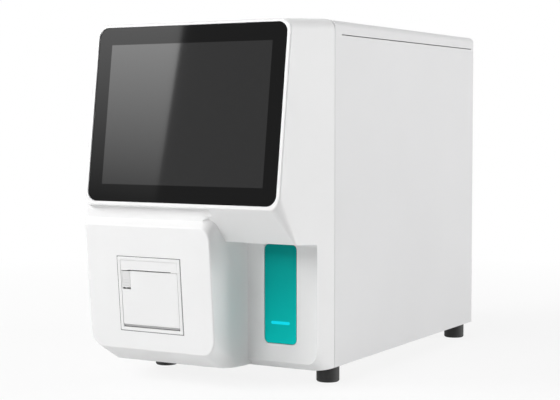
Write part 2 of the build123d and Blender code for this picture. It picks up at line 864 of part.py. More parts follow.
# Collar that guides the needle through the bay ceiling, flush with it
collar_flange = 20.0
collar_foot_height = 164.4
collar_bore = 2 * needle_diameter
needle_above_collar = 1.5
with BuildPart() as needle_collar:
    rod(level(collar_foot_height), (key_x, needle_y), port_bore + 4 - 2 * fit_gap, 4)
    rod(
        level(bay_ceiling_height + shell_wall), (key_x, needle_y), collar_flange,
        needle_tip_height - needle_above_collar - bay_ceiling_height - shell_wall,
    )
    add(front_shell.part, mode=Mode.SUBTRACT)
    rod(level(bay_ceiling_height), (key_x, needle_y), collar_bore, 20, mode=Mode.SUBTRACT)
write_part(needle_collar, "needle_collar")

# Sample probe: the needle hangs in a holder that a screw motor lifts on the travelling carriage
needle_head_height = 301.0
lift_spacing = 22.0          # lift screw to guide rod
lift_clearance = 29.5        # from the collar's top to the lift screw's foot
lift_foot_height = needle_tip_height - needle_above_collar + lift_clearance
screw_diameter = 5.0
screw_bore = screw_diameter + 2 * running_clearance
lift_motor_size = 16.0
lift_motor_length = 18.0
holder_height = 296.0
holder_thickness = 4.0
holder_half = 8.0
bush_length = 10.0
carriage_height = 310.0
carriage_thickness = 16.0
carriage_half = 15.0
plate_back = 9.0             # from the needle to the carriage's back plate
plate_thickness = 2.0
traverse_motor_size = 16.0
traverse_motor_width = 24.0
traverse_motor_length = 20.0
frame_head_height = 346.0
frame_plate = 3.0
frame_top = 2.0
frame_half = 32.0
frame_front = 19.0           # from the needle at rest to the frame's front
frame_back = 32.0            # past the needle's furthest place
screw_x = key_x + lift_spacing / 2
guide_x = key_x - lift_spacing / 2
y_frame = (needle_y - frame_front, needle_y + traverse_stroke + frame_back)
traverse_height = carriage_height + carriage_thickness + traverse_motor_size / 2

with BuildPart() as sample_needle:
    rod(
        level(needle_tip_height), (key_x, needle_y), needle_diameter,
        needle_head_height - needle_tip_height, needle_bore
    )
    chamfer(sample_needle.edges().group_by(Axis.Z)[0].sort_by(SortBy.LENGTH)[-1], 0.3)
write_part(sample_needle, "sample_needle")

with BuildPart() as needle_holder:
    block(
        (guide_x - 6, screw_x + holder_half), (needle_y - holder_half, needle_y + holder_half),
        (holder_height, holder_height + holder_thickness),
    )
    fillet(needle_holder.edges().filter_by(Axis.Z), 3)
    rod(level(holder_height - bush_length), (guide_x, needle_y), 10, bush_length)
    rod(level(needle_tip_height), (guide_x, needle_y), screw_bore, 200, mode=Mode.SUBTRACT)
    rod(level(needle_tip_height), (screw_x, needle_y), screw_bore, 200, mode=Mode.SUBTRACT)
    rod(level(needle_tip_height), (key_x, needle_y), needle_diameter, 200, mode=Mode.SUBTRACT)
write_part(needle_holder, "needle_holder")

with BuildPart() as lift_motor:
    block(
        (screw_x - lift_motor_size / 2, screw_x + lift_motor_size / 2),
        (needle_y - lift_motor_size / 2, needle_y + lift_motor_size / 2),
        (holder_height - lift_motor_length, holder_height),
    )
    chamfer(lift_motor.edges().filter_by(Axis.Z), 1.5)
    rod(level(needle_tip_height), (screw_x, needle_y), screw_bore, 200, mode=Mode.SUBTRACT)
write_part(lift_motor, "lift_motor")

with BuildPart() as lift_rods:
    for x in (screw_x, guide_x):
        rod(level(lift_foot_height), (x, needle_y), screw_diameter, carriage_height + 10 - lift_foot_height)
write_part(lift_rods, "lift_rods")

with BuildPart() as probe_carriage:
    block(
        (key_x - rod_spacing / 2 - 7.5, key_x + rod_spacing / 2 + 7.5),
        (needle_y - carriage_half, needle_y + carriage_half),
        (carriage_height, carriage_height + carriage_thickness),
    )
    fillet(probe_carriage.edges().filter_by(Axis.Y), 3)
    block(
        (guide_x - 4, screw_x + 4), (needle_y + plate_back, needle_y + plate_back + plate_thickness),
        (lift_foot_height - frame_plate, carriage_height + 2),
    )
    block(
        (guide_x - 4, screw_x + 4), (needle_y - 5, needle_y + plate_back),
        (lift_foot_height - frame_plate, lift_foot_height),
    )
    for x in (-rod_spacing / 2, rod_spacing / 2):
        rod(
            facing_front(needle_y + 2 * carriage_half), (key_x + x, rod_height),
            rod_diameter + 2 * running_clearance,
            4 * carriage_half, mode=Mode.SUBTRACT,
        )
    for x in (screw_x, guide_x):
        rod(level(carriage_height), (x, needle_y), screw_diameter, 10, mode=Mode.SUBTRACT)
    rod(level(lift_foot_height - 10), (key_x, needle_y), 6, 200, mode=Mode.SUBTRACT)
write_part(probe_carriage, "probe_carriage")

with BuildPart() as traverse_motor:
    block(
        (key_x - traverse_motor_width / 2, key_x + traverse_motor_width / 2),
        (needle_y - traverse_motor_length / 2, needle_y + traverse_motor_length / 2),
        (carriage_height + carriage_thickness, carriage_height + carriage_thickness + traverse_motor_size),
    )
    chamfer(traverse_motor.edges().filter_by(Axis.Y), 1.5)
    rod(
        facing_front(needle_y + traverse_motor_length), (key_x, traverse_height), screw_bore,
        2 * traverse_motor_length, mode=Mode.SUBTRACT,
    )
write_part(traverse_motor, "traverse_motor")

with BuildPart() as traverse_rods:
    for x in (-rod_spacing / 2, rod_spacing / 2):
        rod(facing_front(y_frame[1]), (key_x + x, rod_height), rod_diameter, y_frame[1] - y_frame[0])
    rod(facing_front(y_frame[1]), (key_x, traverse_height), screw_diameter, y_frame[1] - y_frame[0])
write_part(traverse_rods, "traverse_rods")

y_bulkhead = y_seam + bulkhead_back
with BuildPart() as probe_frame:
    block(
        (key_x - frame_half, key_x + frame_half), y_frame,
        (frame_head_height - frame_top, frame_head_height)
    )
    for y in (y_frame[0], y_frame[1] - frame_plate):
        block(
            (key_x - frame_half, key_x + frame_half), (y, y + frame_plate),
            (carriage_height - 2, frame_head_height)
        )
    with BuildSketch(level(frame_head_height)):
        with Locations((key_x, y_frame[0] + 35), (key_x, y_frame[1] - 45)):
            RectangleRounded(frame_half, 40, 5)
    extrude(amount=-frame_top, mode=Mode.SUBTRACT)
    # Ears that bolt to the front of the bulkhead
    block(
        (key_x - frame_half - 10, key_x + frame_half + 10), (y_bulkhead - frame_plate, y_bulkhead),
        (frame_head_height - frame_top, frame_head_height + 10),
    )
    for x in (-rod_spacing / 2, rod_spacing / 2):
        rod(facing_front(y_rear), (key_x + x, rod_height), rod_diameter, body_width * 3, mode=Mode.SUBTRACT)
    rod(facing_front(y_rear), (key_x, traverse_height), screw_diameter, body_width * 3, mode=Mode.SUBTRACT)
write_part(probe_frame, "probe_frame")

# Counting baths, where the needle empties and rinses
bath_diameter = 24.0
bath_bore = 18.0
bath_foot_height = 86.0
bath_floor = 4.0
bath_head_height = 150.0
bath_spacing = 25.0
bench_seat = 3.0
bench_half = 20.0
bench_overhang = 16.0
tray_top = foot_height + sheet
last_bath_y = needle_y + traverse_stroke
first_bath_y = last_bath_y - bath_spacing
with BuildPart() as counting_baths:
    for y in (first_bath_y, last_bath_y):
        rod(level(bath_foot_height), (key_x, y), bath_diameter, bath_head_height - bath_foot_height)
        rod(level(bath_foot_height - 8), (key_x, y), 6, 8)
        rod(level(bath_foot_height + bath_floor), (key_x, y), bath_bore, 100, mode=Mode.SUBTRACT)
        rod(level(bath_foot_height - 8), (key_x, y), 3, 20, mode=Mode.SUBTRACT)
write_part(counting_baths, "counting_baths")

with BuildPart() as bath_stand:
    block(
        (key_x - bench_half, key_x + bench_half),
        (first_bath_y - bench_overhang, last_bath_y + bench_overhang),
        (tray_top, bath_foot_height),
    )
    block(
        (key_x - bench_half + bench_seat, key_x + bench_half - bench_seat), (y_seam, last_bath_y + 50),
        (tray_top, bath_foot_height - bench_seat), mode=Mode.SUBTRACT,
    )
    for y in (first_bath_y, last_bath_y):
        rod(level(tray_top), (key_x, y), 7, 100, mode=Mode.SUBTRACT)
write_part(bath_stand, "bath_stand")

# Syringe pump that draws and doses through the needle
syringe_x = -70.0
syringe_screw_x = -48.0
syringe_y = y_seam + 42.0
syringe_plate_y = y_seam + 50.0
syringe_bore = 8.0
syringe_diameter = 14.0
syringe_foot_height = 120.0
syringe_head_height = 176.0
syringe_stroke = 40.0
piston_height = 166.0
piston_length = 6.0
plunger_rod = 4.0
pump_carriage_height = 84.0
pump_carriage_thickness = 6.0
pump_lug = 4.0
pump_lug_height = 36.0
pump_half = 8.0
pump_head_height = 190.0
with BuildPart() as syringe_frame:
    block(
        (syringe_x - 15, syringe_screw_x + 13), (syringe_plate_y, syringe_plate_y + 2),
        (tray_top, pump_head_height)
    )
    fillet(syringe_frame.edges().filter_by(Axis.Y).group_by(Axis.Z)[-1], 6)
    block(
        (syringe_x - 15, syringe_screw_x + 13), (syringe_plate_y - 14, syringe_plate_y),
        (tray_top, tray_top + 2)
    )
    for z in (pump_lug_height, syringe_foot_height - pump_lug, syringe_head_height):
        block(
            (syringe_x - 9, syringe_screw_x + 9), (syringe_y - pump_half, syringe_plate_y),
            (z, z + pump_lug)
        )
    rod(
        level(pump_lug_height + pump_lug), (syringe_x, syringe_y), plunger_rod + 1,
        syringe_foot_height - pump_lug_height - pump_lug, mode=Mode.SUBTRACT,
    )
    rod(level(syringe_head_height), (syringe_x, syringe_y), 5, pump_lug, mode=Mode.SUBTRACT)
    rod(
        level(pump_lug_height + pump_lug), (syringe_screw_x, syringe_y), screw_diameter,
        syringe_foot_height - 2 * pump_lug - pump_lug_height,
    )
write_part(syringe_frame, "syringe_frame")

with BuildPart() as syringe_barrel:
    rod(
        level(syringe_foot_height), (syringe_x, syringe_y), syringe_diameter,
        syringe_head_height - syringe_foot_height,
        syringe_bore,
    )
write_part(syringe_barrel, "syringe_barrel")

with BuildPart() as syringe_plunger:
    rod(
        level(pump_carriage_height + pump_carriage_thickness), (syringe_x, syringe_y), plunger_rod,
        piston_height - pump_carriage_height - pump_carriage_thickness,
    )
    rod(level(piston_height), (syringe_x, syringe_y), syringe_bore - 4 * running_clearance, piston_length)
    block(
        (syringe_x - 7, syringe_screw_x + 8), (syringe_y - 7, syringe_y + 7),
        (pump_carriage_height, pump_carriage_height + pump_carriage_thickness),
    )
    block(
        (syringe_screw_x - lift_motor_size / 2, syringe_screw_x + lift_motor_size / 2),
        (syringe_y - 7, syringe_y + 7),
        (pump_carriage_height, pump_carriage_height + pump_carriage_thickness + lift_motor_size),
    )
    rod(level(tray_top), (syringe_screw_x, syringe_y), screw_bore, 200, mode=Mode.SUBTRACT)
write_part(syringe_plunger, "syringe_plunger")

# Rear case: chassis tray, bulkhead, two side panels, rear panel and top cover
y_case = y_seam + seam_gap
y_sheet_end = y_rear - sheet                  # inner face of the side panels' rear returns
y_panel = y_sheet_end - sheet                 # inner face of the rear panel
inner_half = half - sheet
cover_underside = rear_height - sheet
tray_flange = 14.0

with BuildPart() as base_tray:
    block((-inner_half, inner_half), (y_bulkhead, y_panel), (foot_height, foot_height + tray_flange))
    fillet(base_tray.edges().filter_by(Axis.Y).group_by(Axis.Z)[0], panel_bend)
    block(
        (-inner_half + sheet, inner_half - sheet), (y_seam, y_rear),
        (tray_top, foot_height + tray_flange + 1),
        mode=Mode.SUBTRACT,
    )
    with BuildSketch(level(tray_top)):
        with Locations((-40, y_seam + 300), (-40, y_seam + 130)):
            with GridLocations(12, 0, 7, 1):
                Rectangle(5, 60)
    extrude(amount=-sheet, mode=Mode.SUBTRACT)
write_part(base_tray, "base_tray")

window_sill = 163.0
window_margin_x = 2.0
with BuildPart() as bulkhead:
    with BuildSketch(facing_front(y_bulkhead)):
        with Locations((0, (tray_top + cover_underside) / 2)):
            Rectangle(2 * (inner_half - sheet), cover_underside - tray_top)
    extrude(amount=-sheet)
    top_corners = bulkhead.edges().filter_by(Axis.Y).group_by(Axis.Z)[-1]
    fillet(top_corners, cover_radius - sheet)
    # Window that the sample probe travels through, and a port for the display harness
    block(
        (key_x - frame_half - window_margin_x, key_x + frame_half + window_margin_x), (y_seam, y_seam + 20),
        (window_sill, frame_head_height), mode=Mode.SUBTRACT,
    )
    with BuildSketch(facing_front(y_bulkhead)):
        with Locations((-50, 300)):
            SlotOverall(80, 36)
    extrude(amount=-sheet, mode=Mode.SUBTRACT)
write_part(bulkhead, "bulkhead")

screw_drop = 51.0            # upper pair of screws, below the top of the rear cover
screw_heights = (60.0, 200.0, rear_height - screw_drop)
panel_screw = 4.0
screw_head = 2.0
screw_x_out = inner_half - panel_return / 2
for side, label in ((-1, "side_panel_left"), (1, "side_panel_right")):
    with BuildPart() as side_panel:
        with BuildSketch(level(foot_height)):
            with BuildLine():
                Polyline(
                    (side * half, y_case),
                    (side * half, y_rear),
                    (side * (half - panel_return), y_rear),
                    (side * (half - panel_return), y_sheet_end),
                    (side * inner_half, y_sheet_end),
                    (side * inner_half, y_case),
                    close=True,
                )
            make_face()
        extrude(amount=cover_skirt_height - foot_height)
        bend_outer = side_panel.edges().filter_by(Axis.Z).sort_by_distance((side * half, y_rear, 200))[0]
        bend_place = (side * inner_half, y_sheet_end, 200)
        bend_inner = side_panel.edges().filter_by(Axis.Z).sort_by_distance(bend_place)[0]
        fillet(bend_outer, panel_bend)
        fillet(bend_inner, panel_bend - sheet)
        # Shadow line under the skirt of the top cover
        block(
            (side * half - 10, side * half + 10), (y_seam + panel_line_start, y_rear - panel_line_end),
            (cover_skirt_height - panel_line, cover_skirt_height + 1), mode=Mode.SUBTRACT,
        )
        for z in screw_heights:
            rod(
                facing_front(y_rear + 1), (side * screw_x_out, z), panel_screw + 0.4, sheet + 1,
                mode=Mode.SUBTRACT
            )
    write_part(side_panel, label)

with BuildPart() as cover_space:
    block((-inner_half, inner_half), (y_seam - 5, y_sheet_end), (cover_skirt_height - 5, cover_underside))
    fillet(cover_space.edges().filter_by(Axis.Y).group_by(Axis.Z)[-1], cover_radius - sheet)

with BuildPart() as top_cover:
    block((-half, half), (y_case, y_rear), (cover_skirt_height, rear_height))
    fillet(top_cover.edges().filter_by(Axis.Y).group_by(Axis.Z)[-1], cover_radius)
    fillet(top_cover.edges().filter_by(Axis.X).group_by(Axis.Z)[-1].sort_by(Axis.Y)[-1], panel_bend)
    add(cover_space.part, mode=Mode.SUBTRACT)
write_part(top_cover, "top_cover")

# Rear panel with fan opening, air slots and cut-outs for the connectors
guard_ring = 2.2
port_height = 242.0
port_width = 16.0
port_tall = 13.5
network_x = -96.0
data_x = -72.0
port_gap = 0.4
vent_drop = 81.0             # middle of the air slots, below the top of the rear cover
switch_x = inlet_x + inlet_width / 2 + 16.0
spigots = [(spigot_x + step * spigot_spacing, spigot_height) for step in (-1, 0, 1)]
with BuildPart() as rear_panel:
    block(
        (-inner_half + sheet, inner_half - sheet), (y_panel, y_sheet_end),
        (foot_height, cover_underside - fit_gap)
    )
    fillet(rear_panel.edges().filter_by(Axis.Y).group_by(Axis.Z)[-1], cover_radius - sheet)
    rod(facing_front(y_rear), (fan_x, fan_height), fan_bore, 10, mode=Mode.SUBTRACT)
    with BuildSketch(facing_front(y_sheet_end)):
        with Locations((-55, rear_height - vent_drop)):
            with GridLocations(9, 0, 11, 1):
                Rectangle(3.5, 60)
        with Locations((inlet_x, inlet_height)):
            Rectangle(inlet_width + 2 * port_gap, inlet_tall + 2 * port_gap)
        with Locations((switch_x, inlet_height)):
            Rectangle(rocker_width + 3 + 2 * port_gap, rocker_tall + 3 + 2 * port_gap)
        with Locations((network_x, port_height), (data_x, port_height)):
            Rectangle(port_width + 2 * port_gap, port_tall + 2 * port_gap)
        with Locations(*spigots):
            Circle(spigot_diameter / 2 + 1 + running_clearance)
        with Locations(*[(side * screw_x_out, z) for side in (-1, 1) for z in screw_heights]):
            Circle(panel_screw / 2 + running_clearance)
    extrude(amount=2 * sheet, mode=Mode.SUBTRACT)
write_part(rear_panel, "rear_panel")

with BuildPart() as rear_screws:
    for side in (-1, 1):
        for z in screw_heights:
            rod(facing_front(y_rear), (side * screw_x_out, z), panel_screw, 3 * sheet)
            rod(facing_front(y_rear + screw_head), (side * screw_x_out, z), 1.8 * panel_screw, screw_head)
write_part(rear_screws, "rear_screws")

# Feet
with BuildPart() as feet:
    for side in (-1, 1):
        for y in (y_seam + front_foot_back, y_rear - rear_foot_inset):
            rod(level(0), (side * foot_x, y), foot_diameter, foot_height)
            rod(level(0), (side * foot_x, y), 12, 5, mode=Mode.SUBTRACT)
    chamfer(feet.faces().group_by(Axis.Z)[0].edges().filter_by(lambda edge: edge.length > 60), 1.2)
write_part(feet, "feet")

# Exhaust fan inside the rear panel, its guard outside
fan_shaft = 3.0
fan_plate = 3.0
blade_count = 7
with BuildPart() as fan_frame:
    block(
        (fan_x - fan_size / 2, fan_x + fan_size / 2), (y_panel - fan_depth, y_panel),
        (fan_height - fan_size / 2, fan_height + fan_size / 2),
    )
    fillet(fan_frame.edges().filter_by(Axis.Y), 4)
    rod(facing_front(y_panel), (fan_x, fan_height), fan_bore + 1, fan_depth, mode=Mode.SUBTRACT)
    # Spider that carries the motor on the inner side
    with BuildSketch(facing_front(y_panel - fan_depth + fan_plate)):
        with Locations((fan_x, fan_height)):
            Circle(fan_hub / 2)
            with PolarLocations(fan_bore / 4, 4, start_angle=45):
                Rectangle(fan_bore / 2 + 2, 4)
    extrude(amount=fan_plate)
    rod(facing_front(y_panel - 4), (fan_x, fan_height), fan_shaft, fan_depth - 4)
write_part(fan_frame, "fan_frame")

with BuildPart() as fan_rotor:
    rod(facing_front(y_panel - 2), (fan_x, fan_height), fan_hub, fan_depth - fan_plate - 4)
    for index in range(blade_count):
        turn = 2 * pi * index / blade_count
        blade_mid = (fan_hub / 2 + fan_bore / 2) / 2
        blade_plane = Plane(
            origin=(
                fan_x + blade_mid * cos(turn), y_panel - fan_depth / 2, fan_height + blade_mid * sin(turn)
            ),
            x_dir=(-sin(turn), -0.9, cos(turn)), z_dir=(cos(turn), 0, sin(turn)),
        )
        with BuildSketch(blade_plane):
            Rectangle(20, 1.2)
        extrude(amount=(fan_bore - fan_hub) / 4 + 1, both=True)
    with BuildSketch(facing_front(y_panel)):
        with Locations((fan_x, fan_height)):
            Circle(fan_bore)
            Circle(fan_bore / 2 - 0.6, mode=Mode.SUBTRACT)
    extrude(amount=fan_depth, mode=Mode.SUBTRACT)
    rod(
        facing_front(y_panel), (fan_x, fan_height), fan_shaft + 2 * running_clearance, fan_depth,
        mode=Mode.SUBTRACT
    )
write_part(fan_rotor, "fan_rotor")

with BuildPart() as fan_guard:
    with BuildSketch(facing_front(y_sheet_end + 1.2)):
        with Locations((fan_x, fan_height)):
            for ring in range(1, 5):
                Circle(ring * 9.5 + guard_ring / 2)
                Circle(ring * 9.5 - guard_ring / 2, mode=Mode.SUBTRACT)
            Circle(7)
            with PolarLocations(22, 4, start_angle=45):
                Rectangle(44, guard_ring)
            with PolarLocations(fan_size / 2 * 1.26, 4, start_angle=45):
                Circle(3.5)
            with PolarLocations(45, 4, start_angle=45):
                Rectangle(8, 3)
    extrude(amount=1.2)
write_part(fan_guard, "fan_guard")

# Mains inlet and power switch
flange = 2.0
with BuildPart() as power_inlet:
    with BuildSketch(facing_front(y_sheet_end + flange)):
        with Locations((inlet_x, inlet_height)):
            RectangleRounded(inlet_width + 5, inlet_tall + 5, 2)
    extrude(amount=flange)
    block(
        (inlet_x - inlet_width / 2, inlet_x + inlet_width / 2),
        (y_panel - inlet_depth - 2, y_sheet_end + 0.5),
        (inlet_height - inlet_tall / 2, inlet_height + inlet_tall / 2),
    )
    with BuildSketch(facing_front(y_sheet_end + flange)):
        with Locations((inlet_x, inlet_height)):
            Polygon(
                (-inlet_width / 2 + 1.2, -inlet_tall / 2 + 1.2),
                (inlet_width / 2 - 1.2, -inlet_tall / 2 + 1.2),
                (inlet_width / 2 - 1.2, inlet_tall / 2 - 6),
                (inlet_width / 2 - 6, inlet_tall / 2 - 1.2),
                (-inlet_width / 2 + 6, inlet_tall / 2 - 1.2),
                (-inlet_width / 2 + 1.2, inlet_tall / 2 - 6),
                align=None,
            )
    extrude(amount=inlet_depth, mode=Mode.SUBTRACT)
write_part(power_inlet, "power_inlet")

with BuildPart() as inlet_pins:
    pin_root = y_sheet_end + flange - inlet_depth
    for x, z in ((-7.0, -1.5), (7.0, -1.5), (0.0, 3.0)):
        block(
            (inlet_x + x - 1, inlet_x + x + 1), (pin_root, pin_root + 14),
            (inlet_height + z - 2.5, inlet_height + z + 2.5),
        )
write_part(inlet_pins, "inlet_pins")

rocker_axis_depth = 2.0
rocker_back = 7.0
y_rocker_axis = y_sheet_end - rocker_axis_depth
with BuildPart() as power_switch:
    with BuildSketch(facing_front(y_sheet_end + flange)):
        with Locations((switch_x, inlet_height)):
            RectangleRounded(rocker_width + 8, rocker_tall + 8, 2)
    extrude(amount=flange)
    block(
        (switch_x - rocker_width / 2 - 1.5, switch_x + rocker_width / 2 + 1.5),
        (y_panel - 16, y_sheet_end + 0.5),
        (inlet_height - rocker_tall / 2 - 1.5, inlet_height + rocker_tall / 2 + 1.5),
    )
    block(
        (switch_x - rocker_width / 2, switch_x + rocker_width / 2), (y_panel - 12, y_rear + 5),
        (inlet_height - rocker_tall / 2, inlet_height + rocker_tall / 2), mode=Mode.SUBTRACT,
    )
    rod(
        facing_right(switch_x - rocker_width / 2 - 1.5), (y_rocker_axis, inlet_height),
        2.0 + 2 * running_clearance,
        rocker_width + 3, mode=Mode.SUBTRACT,
    )
write_part(power_switch, "power_switch")

with BuildPart() as power_rocker:
    with BuildSketch(facing_right(switch_x - rocker_width / 2 + fit_gap)):
        with BuildLine():
            face = ThreePointArc(
                (y_sheet_end + 3.4, inlet_height - rocker_tall / 2 + 1.4),
                (y_sheet_end + 1.4, inlet_height),
                (y_sheet_end + 3.4, inlet_height + rocker_tall / 2 - 1.4),
            )
            Polyline(
                face @ 1,
                (y_rocker_axis - 3, inlet_height + rocker_tall / 2 - 2.0),
                (y_rocker_axis - rocker_back, inlet_height + 2),
                (y_rocker_axis - rocker_back, inlet_height - 2),
                (y_rocker_axis - 3, inlet_height - rocker_tall / 2 + 2.0),
                face @ 0,
            )
        make_face()
    extrude(amount=rocker_width - 2 * fit_gap)
    rod(
        facing_right(switch_x - rocker_width / 2 - 1.5), (y_rocker_axis, inlet_height), 2.0,
        rocker_width + 3,
    )
write_part(power_rocker, "power_rocker")

# Hose spigots for diluent, lyse and waste, each on a flange with its nut inside the panel
with BuildPart() as hose_spigots:
    for place in spigots:
        rod(facing_front(y_rear + spigot_reach), place, spigot_diameter, spigot_reach + sheet)
    chamfer(hose_spigots.edges().group_by(Axis.Y)[-1], 0.6)
    for place in spigots:
        rod(facing_front(y_sheet_end + 3), place, 13, 3)
        rod(facing_front(y_sheet_end), place, spigot_diameter + 2, sheet)
        rod(facing_front(y_panel), place, 11, 5)
        rod(facing_front(y_rear + spigot_reach), place, spigot_bore, 50, mode=Mode.SUBTRACT)
write_part(hose_spigots, "hose_spigots")

# Shelf between bulkhead and rear panel
shelf_right = 35.0
shelf_flange = 12.0
y_shelf = (y_bulkhead + sheet, y_panel)
with BuildPart() as equipment_shelf:
    block((-inner_half + fit_gap, shelf_right), y_shelf, (shelf_height, shelf_height + sheet))
    for y in (y_shelf[0], y_shelf[1] - sheet):
        block(
            (-inner_half + fit_gap, shelf_right), (y, y + sheet),
            (shelf_height - shelf_flange, shelf_height)
        )
    block((shelf_right - sheet, shelf_right), y_shelf, (shelf_height - shelf_flange, shelf_height))
    with BuildSketch(level(shelf_height + sheet)):
        with Locations((-50, y_seam + 30), (-50, y_seam + 220)):
            SlotOverall(60, 14)
    extrude(amount=-sheet, mode=Mode.SUBTRACT)
write_part(equipment_shelf, "equipment_shelf")
shelf_top = shelf_height + sheet

supply_inset = 7.15          # inside the case's left wall
supply_x = (supply_inset - inner_half, supply_inset - inner_half + 100)
supply_y = (y_seam + 60, y_seam + 205)
supply_height = 42.0
with BuildPart() as power_supply:
    block(supply_x, supply_y, (shelf_top, shelf_top + supply_height))
    fillet(power_supply.edges().filter_by(Axis.Y).group_by(Axis.Z)[-1], 2)
    with BuildSketch(level(shelf_top + supply_height)):
        with Locations(((supply_x[0] + supply_x[1]) / 2, (supply_y[0] + supply_y[1]) / 2)):
            with GridLocations(0, 11, 1, 9):
                Rectangle(70, 4)
    extrude(amount=-1.5, mode=Mode.SUBTRACT)
write_part(power_supply, "power_supply")

board_x = (-115.0, 5.0)
board_y = (y_seam + 235, y_seam + 400)
standoff = 6.0
board_foot = shelf_top + standoff
board_centre = ((board_x[0] + board_x[1]) / 2, (board_y[0] + board_y[1]) / 2)
with BuildPart() as main_board:
    block(board_x, board_y, (board_foot, board_foot + 1.6))
    with BuildSketch(level(shelf_top)):
        with Locations(board_centre):
            with GridLocations(board_x[1] - board_x[0] - 10, board_y[1] - board_y[0] - 10, 2, 2):
                Circle(3)
    extrude(amount=standoff)
    with BuildSketch(level(board_foot + 1.6)):
        with Locations((board_centre[0] + 10, board_centre[1] - 20)):
            Rectangle(30, 30)
        with Locations((board_centre[0] - 30, board_centre[1] - 40)):
            with GridLocations(14, 24, 2, 2):
                Rectangle(8, 16)
    extrude(amount=3)
write_part(main_board, "main_board")

port_front = y_panel - 20
port_floor = y_panel - 12
with BuildPart() as rear_ports:
    for x in (network_x, data_x):
        block(
            (x - port_width / 2, x + port_width / 2), (port_front, y_sheet_end + 0.8),
            (port_height - port_tall / 2, port_height + port_tall / 2),
        )
        block(
            (x - port_width / 2, x + port_width / 2), (port_front, board_y[1]),
            (board_foot + 1.6, port_height - port_tall / 2),
        )
    block(
        (network_x - 6, network_x + 6), (port_floor, y_rear), (port_height - 4, port_height + 4),
        mode=Mode.SUBTRACT
    )
    for z in (port_height - 3.4, port_height + 3.4):
        block((data_x - 6.4, data_x + 6.4), (port_floor, y_rear), (z - 2.4, z + 2.4), mode=Mode.SUBTRACT)
write_part(rear_ports, "rear_ports")

# Optical bench: base casting that carries laser tube, flow cell and detector in line
bench_x = 70.0
bench_y = (y_seam + 230, y_seam + 360)
bench_width = 84.0
bench_base = 10.0
tube_diameter = 24.0
optics_height = tray_top + 48
with BuildPart() as optical_bench:
    block(
        (bench_x - bench_width / 2, bench_x + bench_width / 2), bench_y, (tray_top, tray_top + bench_base)
    )
    fillet(optical_bench.edges().filter_by(Axis.Z), 6)
    for y in (bench_y[0] + 12, bench_y[0] + 44, bench_y[1] - 26):
        block((bench_x - 18, bench_x + 18), (y, y + 10), (tray_top + bench_base, optics_height))
    rod(
        facing_front(bench_y[1]), (bench_x, optics_height), tube_diameter + 2 * running_clearance, 140,
        mode=Mode.SUBTRACT,
    )
write_part(optical_bench, "optical_bench")

with BuildPart() as laser_optics:
    rod(facing_front(bench_y[0] + 58), (bench_x, optics_height), tube_diameter, 62)
    rod(facing_front(bench_y[0] + 66), (bench_x, optics_height), 12, 8)
    block(
        (bench_x - 9, bench_x + 9), (bench_y[0] + 68, bench_y[0] + 84),
        (tray_top + bench_base, optics_height + 22),
    )
    rod(facing_front(bench_y[0] + 84), (bench_x, optics_height), 6, 16, mode=Mode.SUBTRACT)
    rod(facing_front(bench_y[1] - 4), (bench_x, optics_height), tube_diameter, 38)
    block(
        (bench_x - 16, bench_x + 16), (bench_y[1] - 4, bench_y[1]),
        (optics_height - 16, optics_height + 16),
    )
write_part(laser_optics, "laser_optics")

# Vacuum pump, waste chamber and valve manifold on the tray
pump_place = (-85.0, y_seam + 300)
pump_motor = 44.0
pump_height = 62.0
with BuildPart() as vacuum_pump:
    block(
        (pump_place[0] - 26, pump_place[0] + 26), (pump_place[1] - 30, pump_place[1] + 30),
        (tray_top, tray_top + 3),
    )
    rod(level(tray_top + 3), pump_place, pump_motor, pump_height)
    block(
        (pump_place[0] - 24, pump_place[0] + 24), (pump_place[1] - 24, pump_place[1] + 24),
        (tray_top + 3 + pump_height, tray_top + 3 + pump_height + 22),
    )
    fillet(vacuum_pump.edges().filter_by(Axis.Z).group_by(Axis.Z)[-1], 5)
    for x in (-8, 8):
        rod(level(tray_top + pump_height + 20), (pump_place[0] + x, pump_place[1]), 5, 16)
write_part(vacuum_pump, "vacuum_pump")

chamber_place = (-80.0, y_seam + 190)
with BuildPart() as waste_chamber:
    rod(level(tray_top), chamber_place, 56, 100)
    chamfer(waste_chamber.edges().group_by(Axis.Z)[-1], 5)
    for x in (-12, 12):
        rod(level(tray_top + 95), (chamber_place[0] + x, chamber_place[1]), 6, 18)
write_part(waste_chamber, "waste_chamber")

manifold_x = (-15.0, 25.0)
manifold_y = (y_seam + 70, y_seam + 215)
manifold_height = 30.0
valve_pitch = 22.0
valve_count = 6
with BuildPart() as valve_manifold:
    block(manifold_x, manifold_y, (tray_top, tray_top + manifold_height))
    chamfer(valve_manifold.edges().filter_by(Axis.Y).group_by(Axis.Z)[-1], 3)
write_part(valve_manifold, "valve_manifold")

with BuildPart() as solenoid_valves:
    for index in range(valve_count):
        y = manifold_y[0] + 17 + index * valve_pitch
        block((-5, 15), (y - 9, y + 9), (tray_top + manifold_height, tray_top + manifold_height + 28))
        rod(level(tray_top + manifold_height + 28), (5, y), 12, 10)
write_part(solenoid_valves, "solenoid_valves")
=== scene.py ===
"""Studio scene of the bench hematology analyzer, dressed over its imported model.

Metres throughout. +X is the operator's right and the screen faces -Y.
"""
import json
from math import cos, pi, radians, sin

import bmesh
import bpy
from mathutils import Matrix, Vector


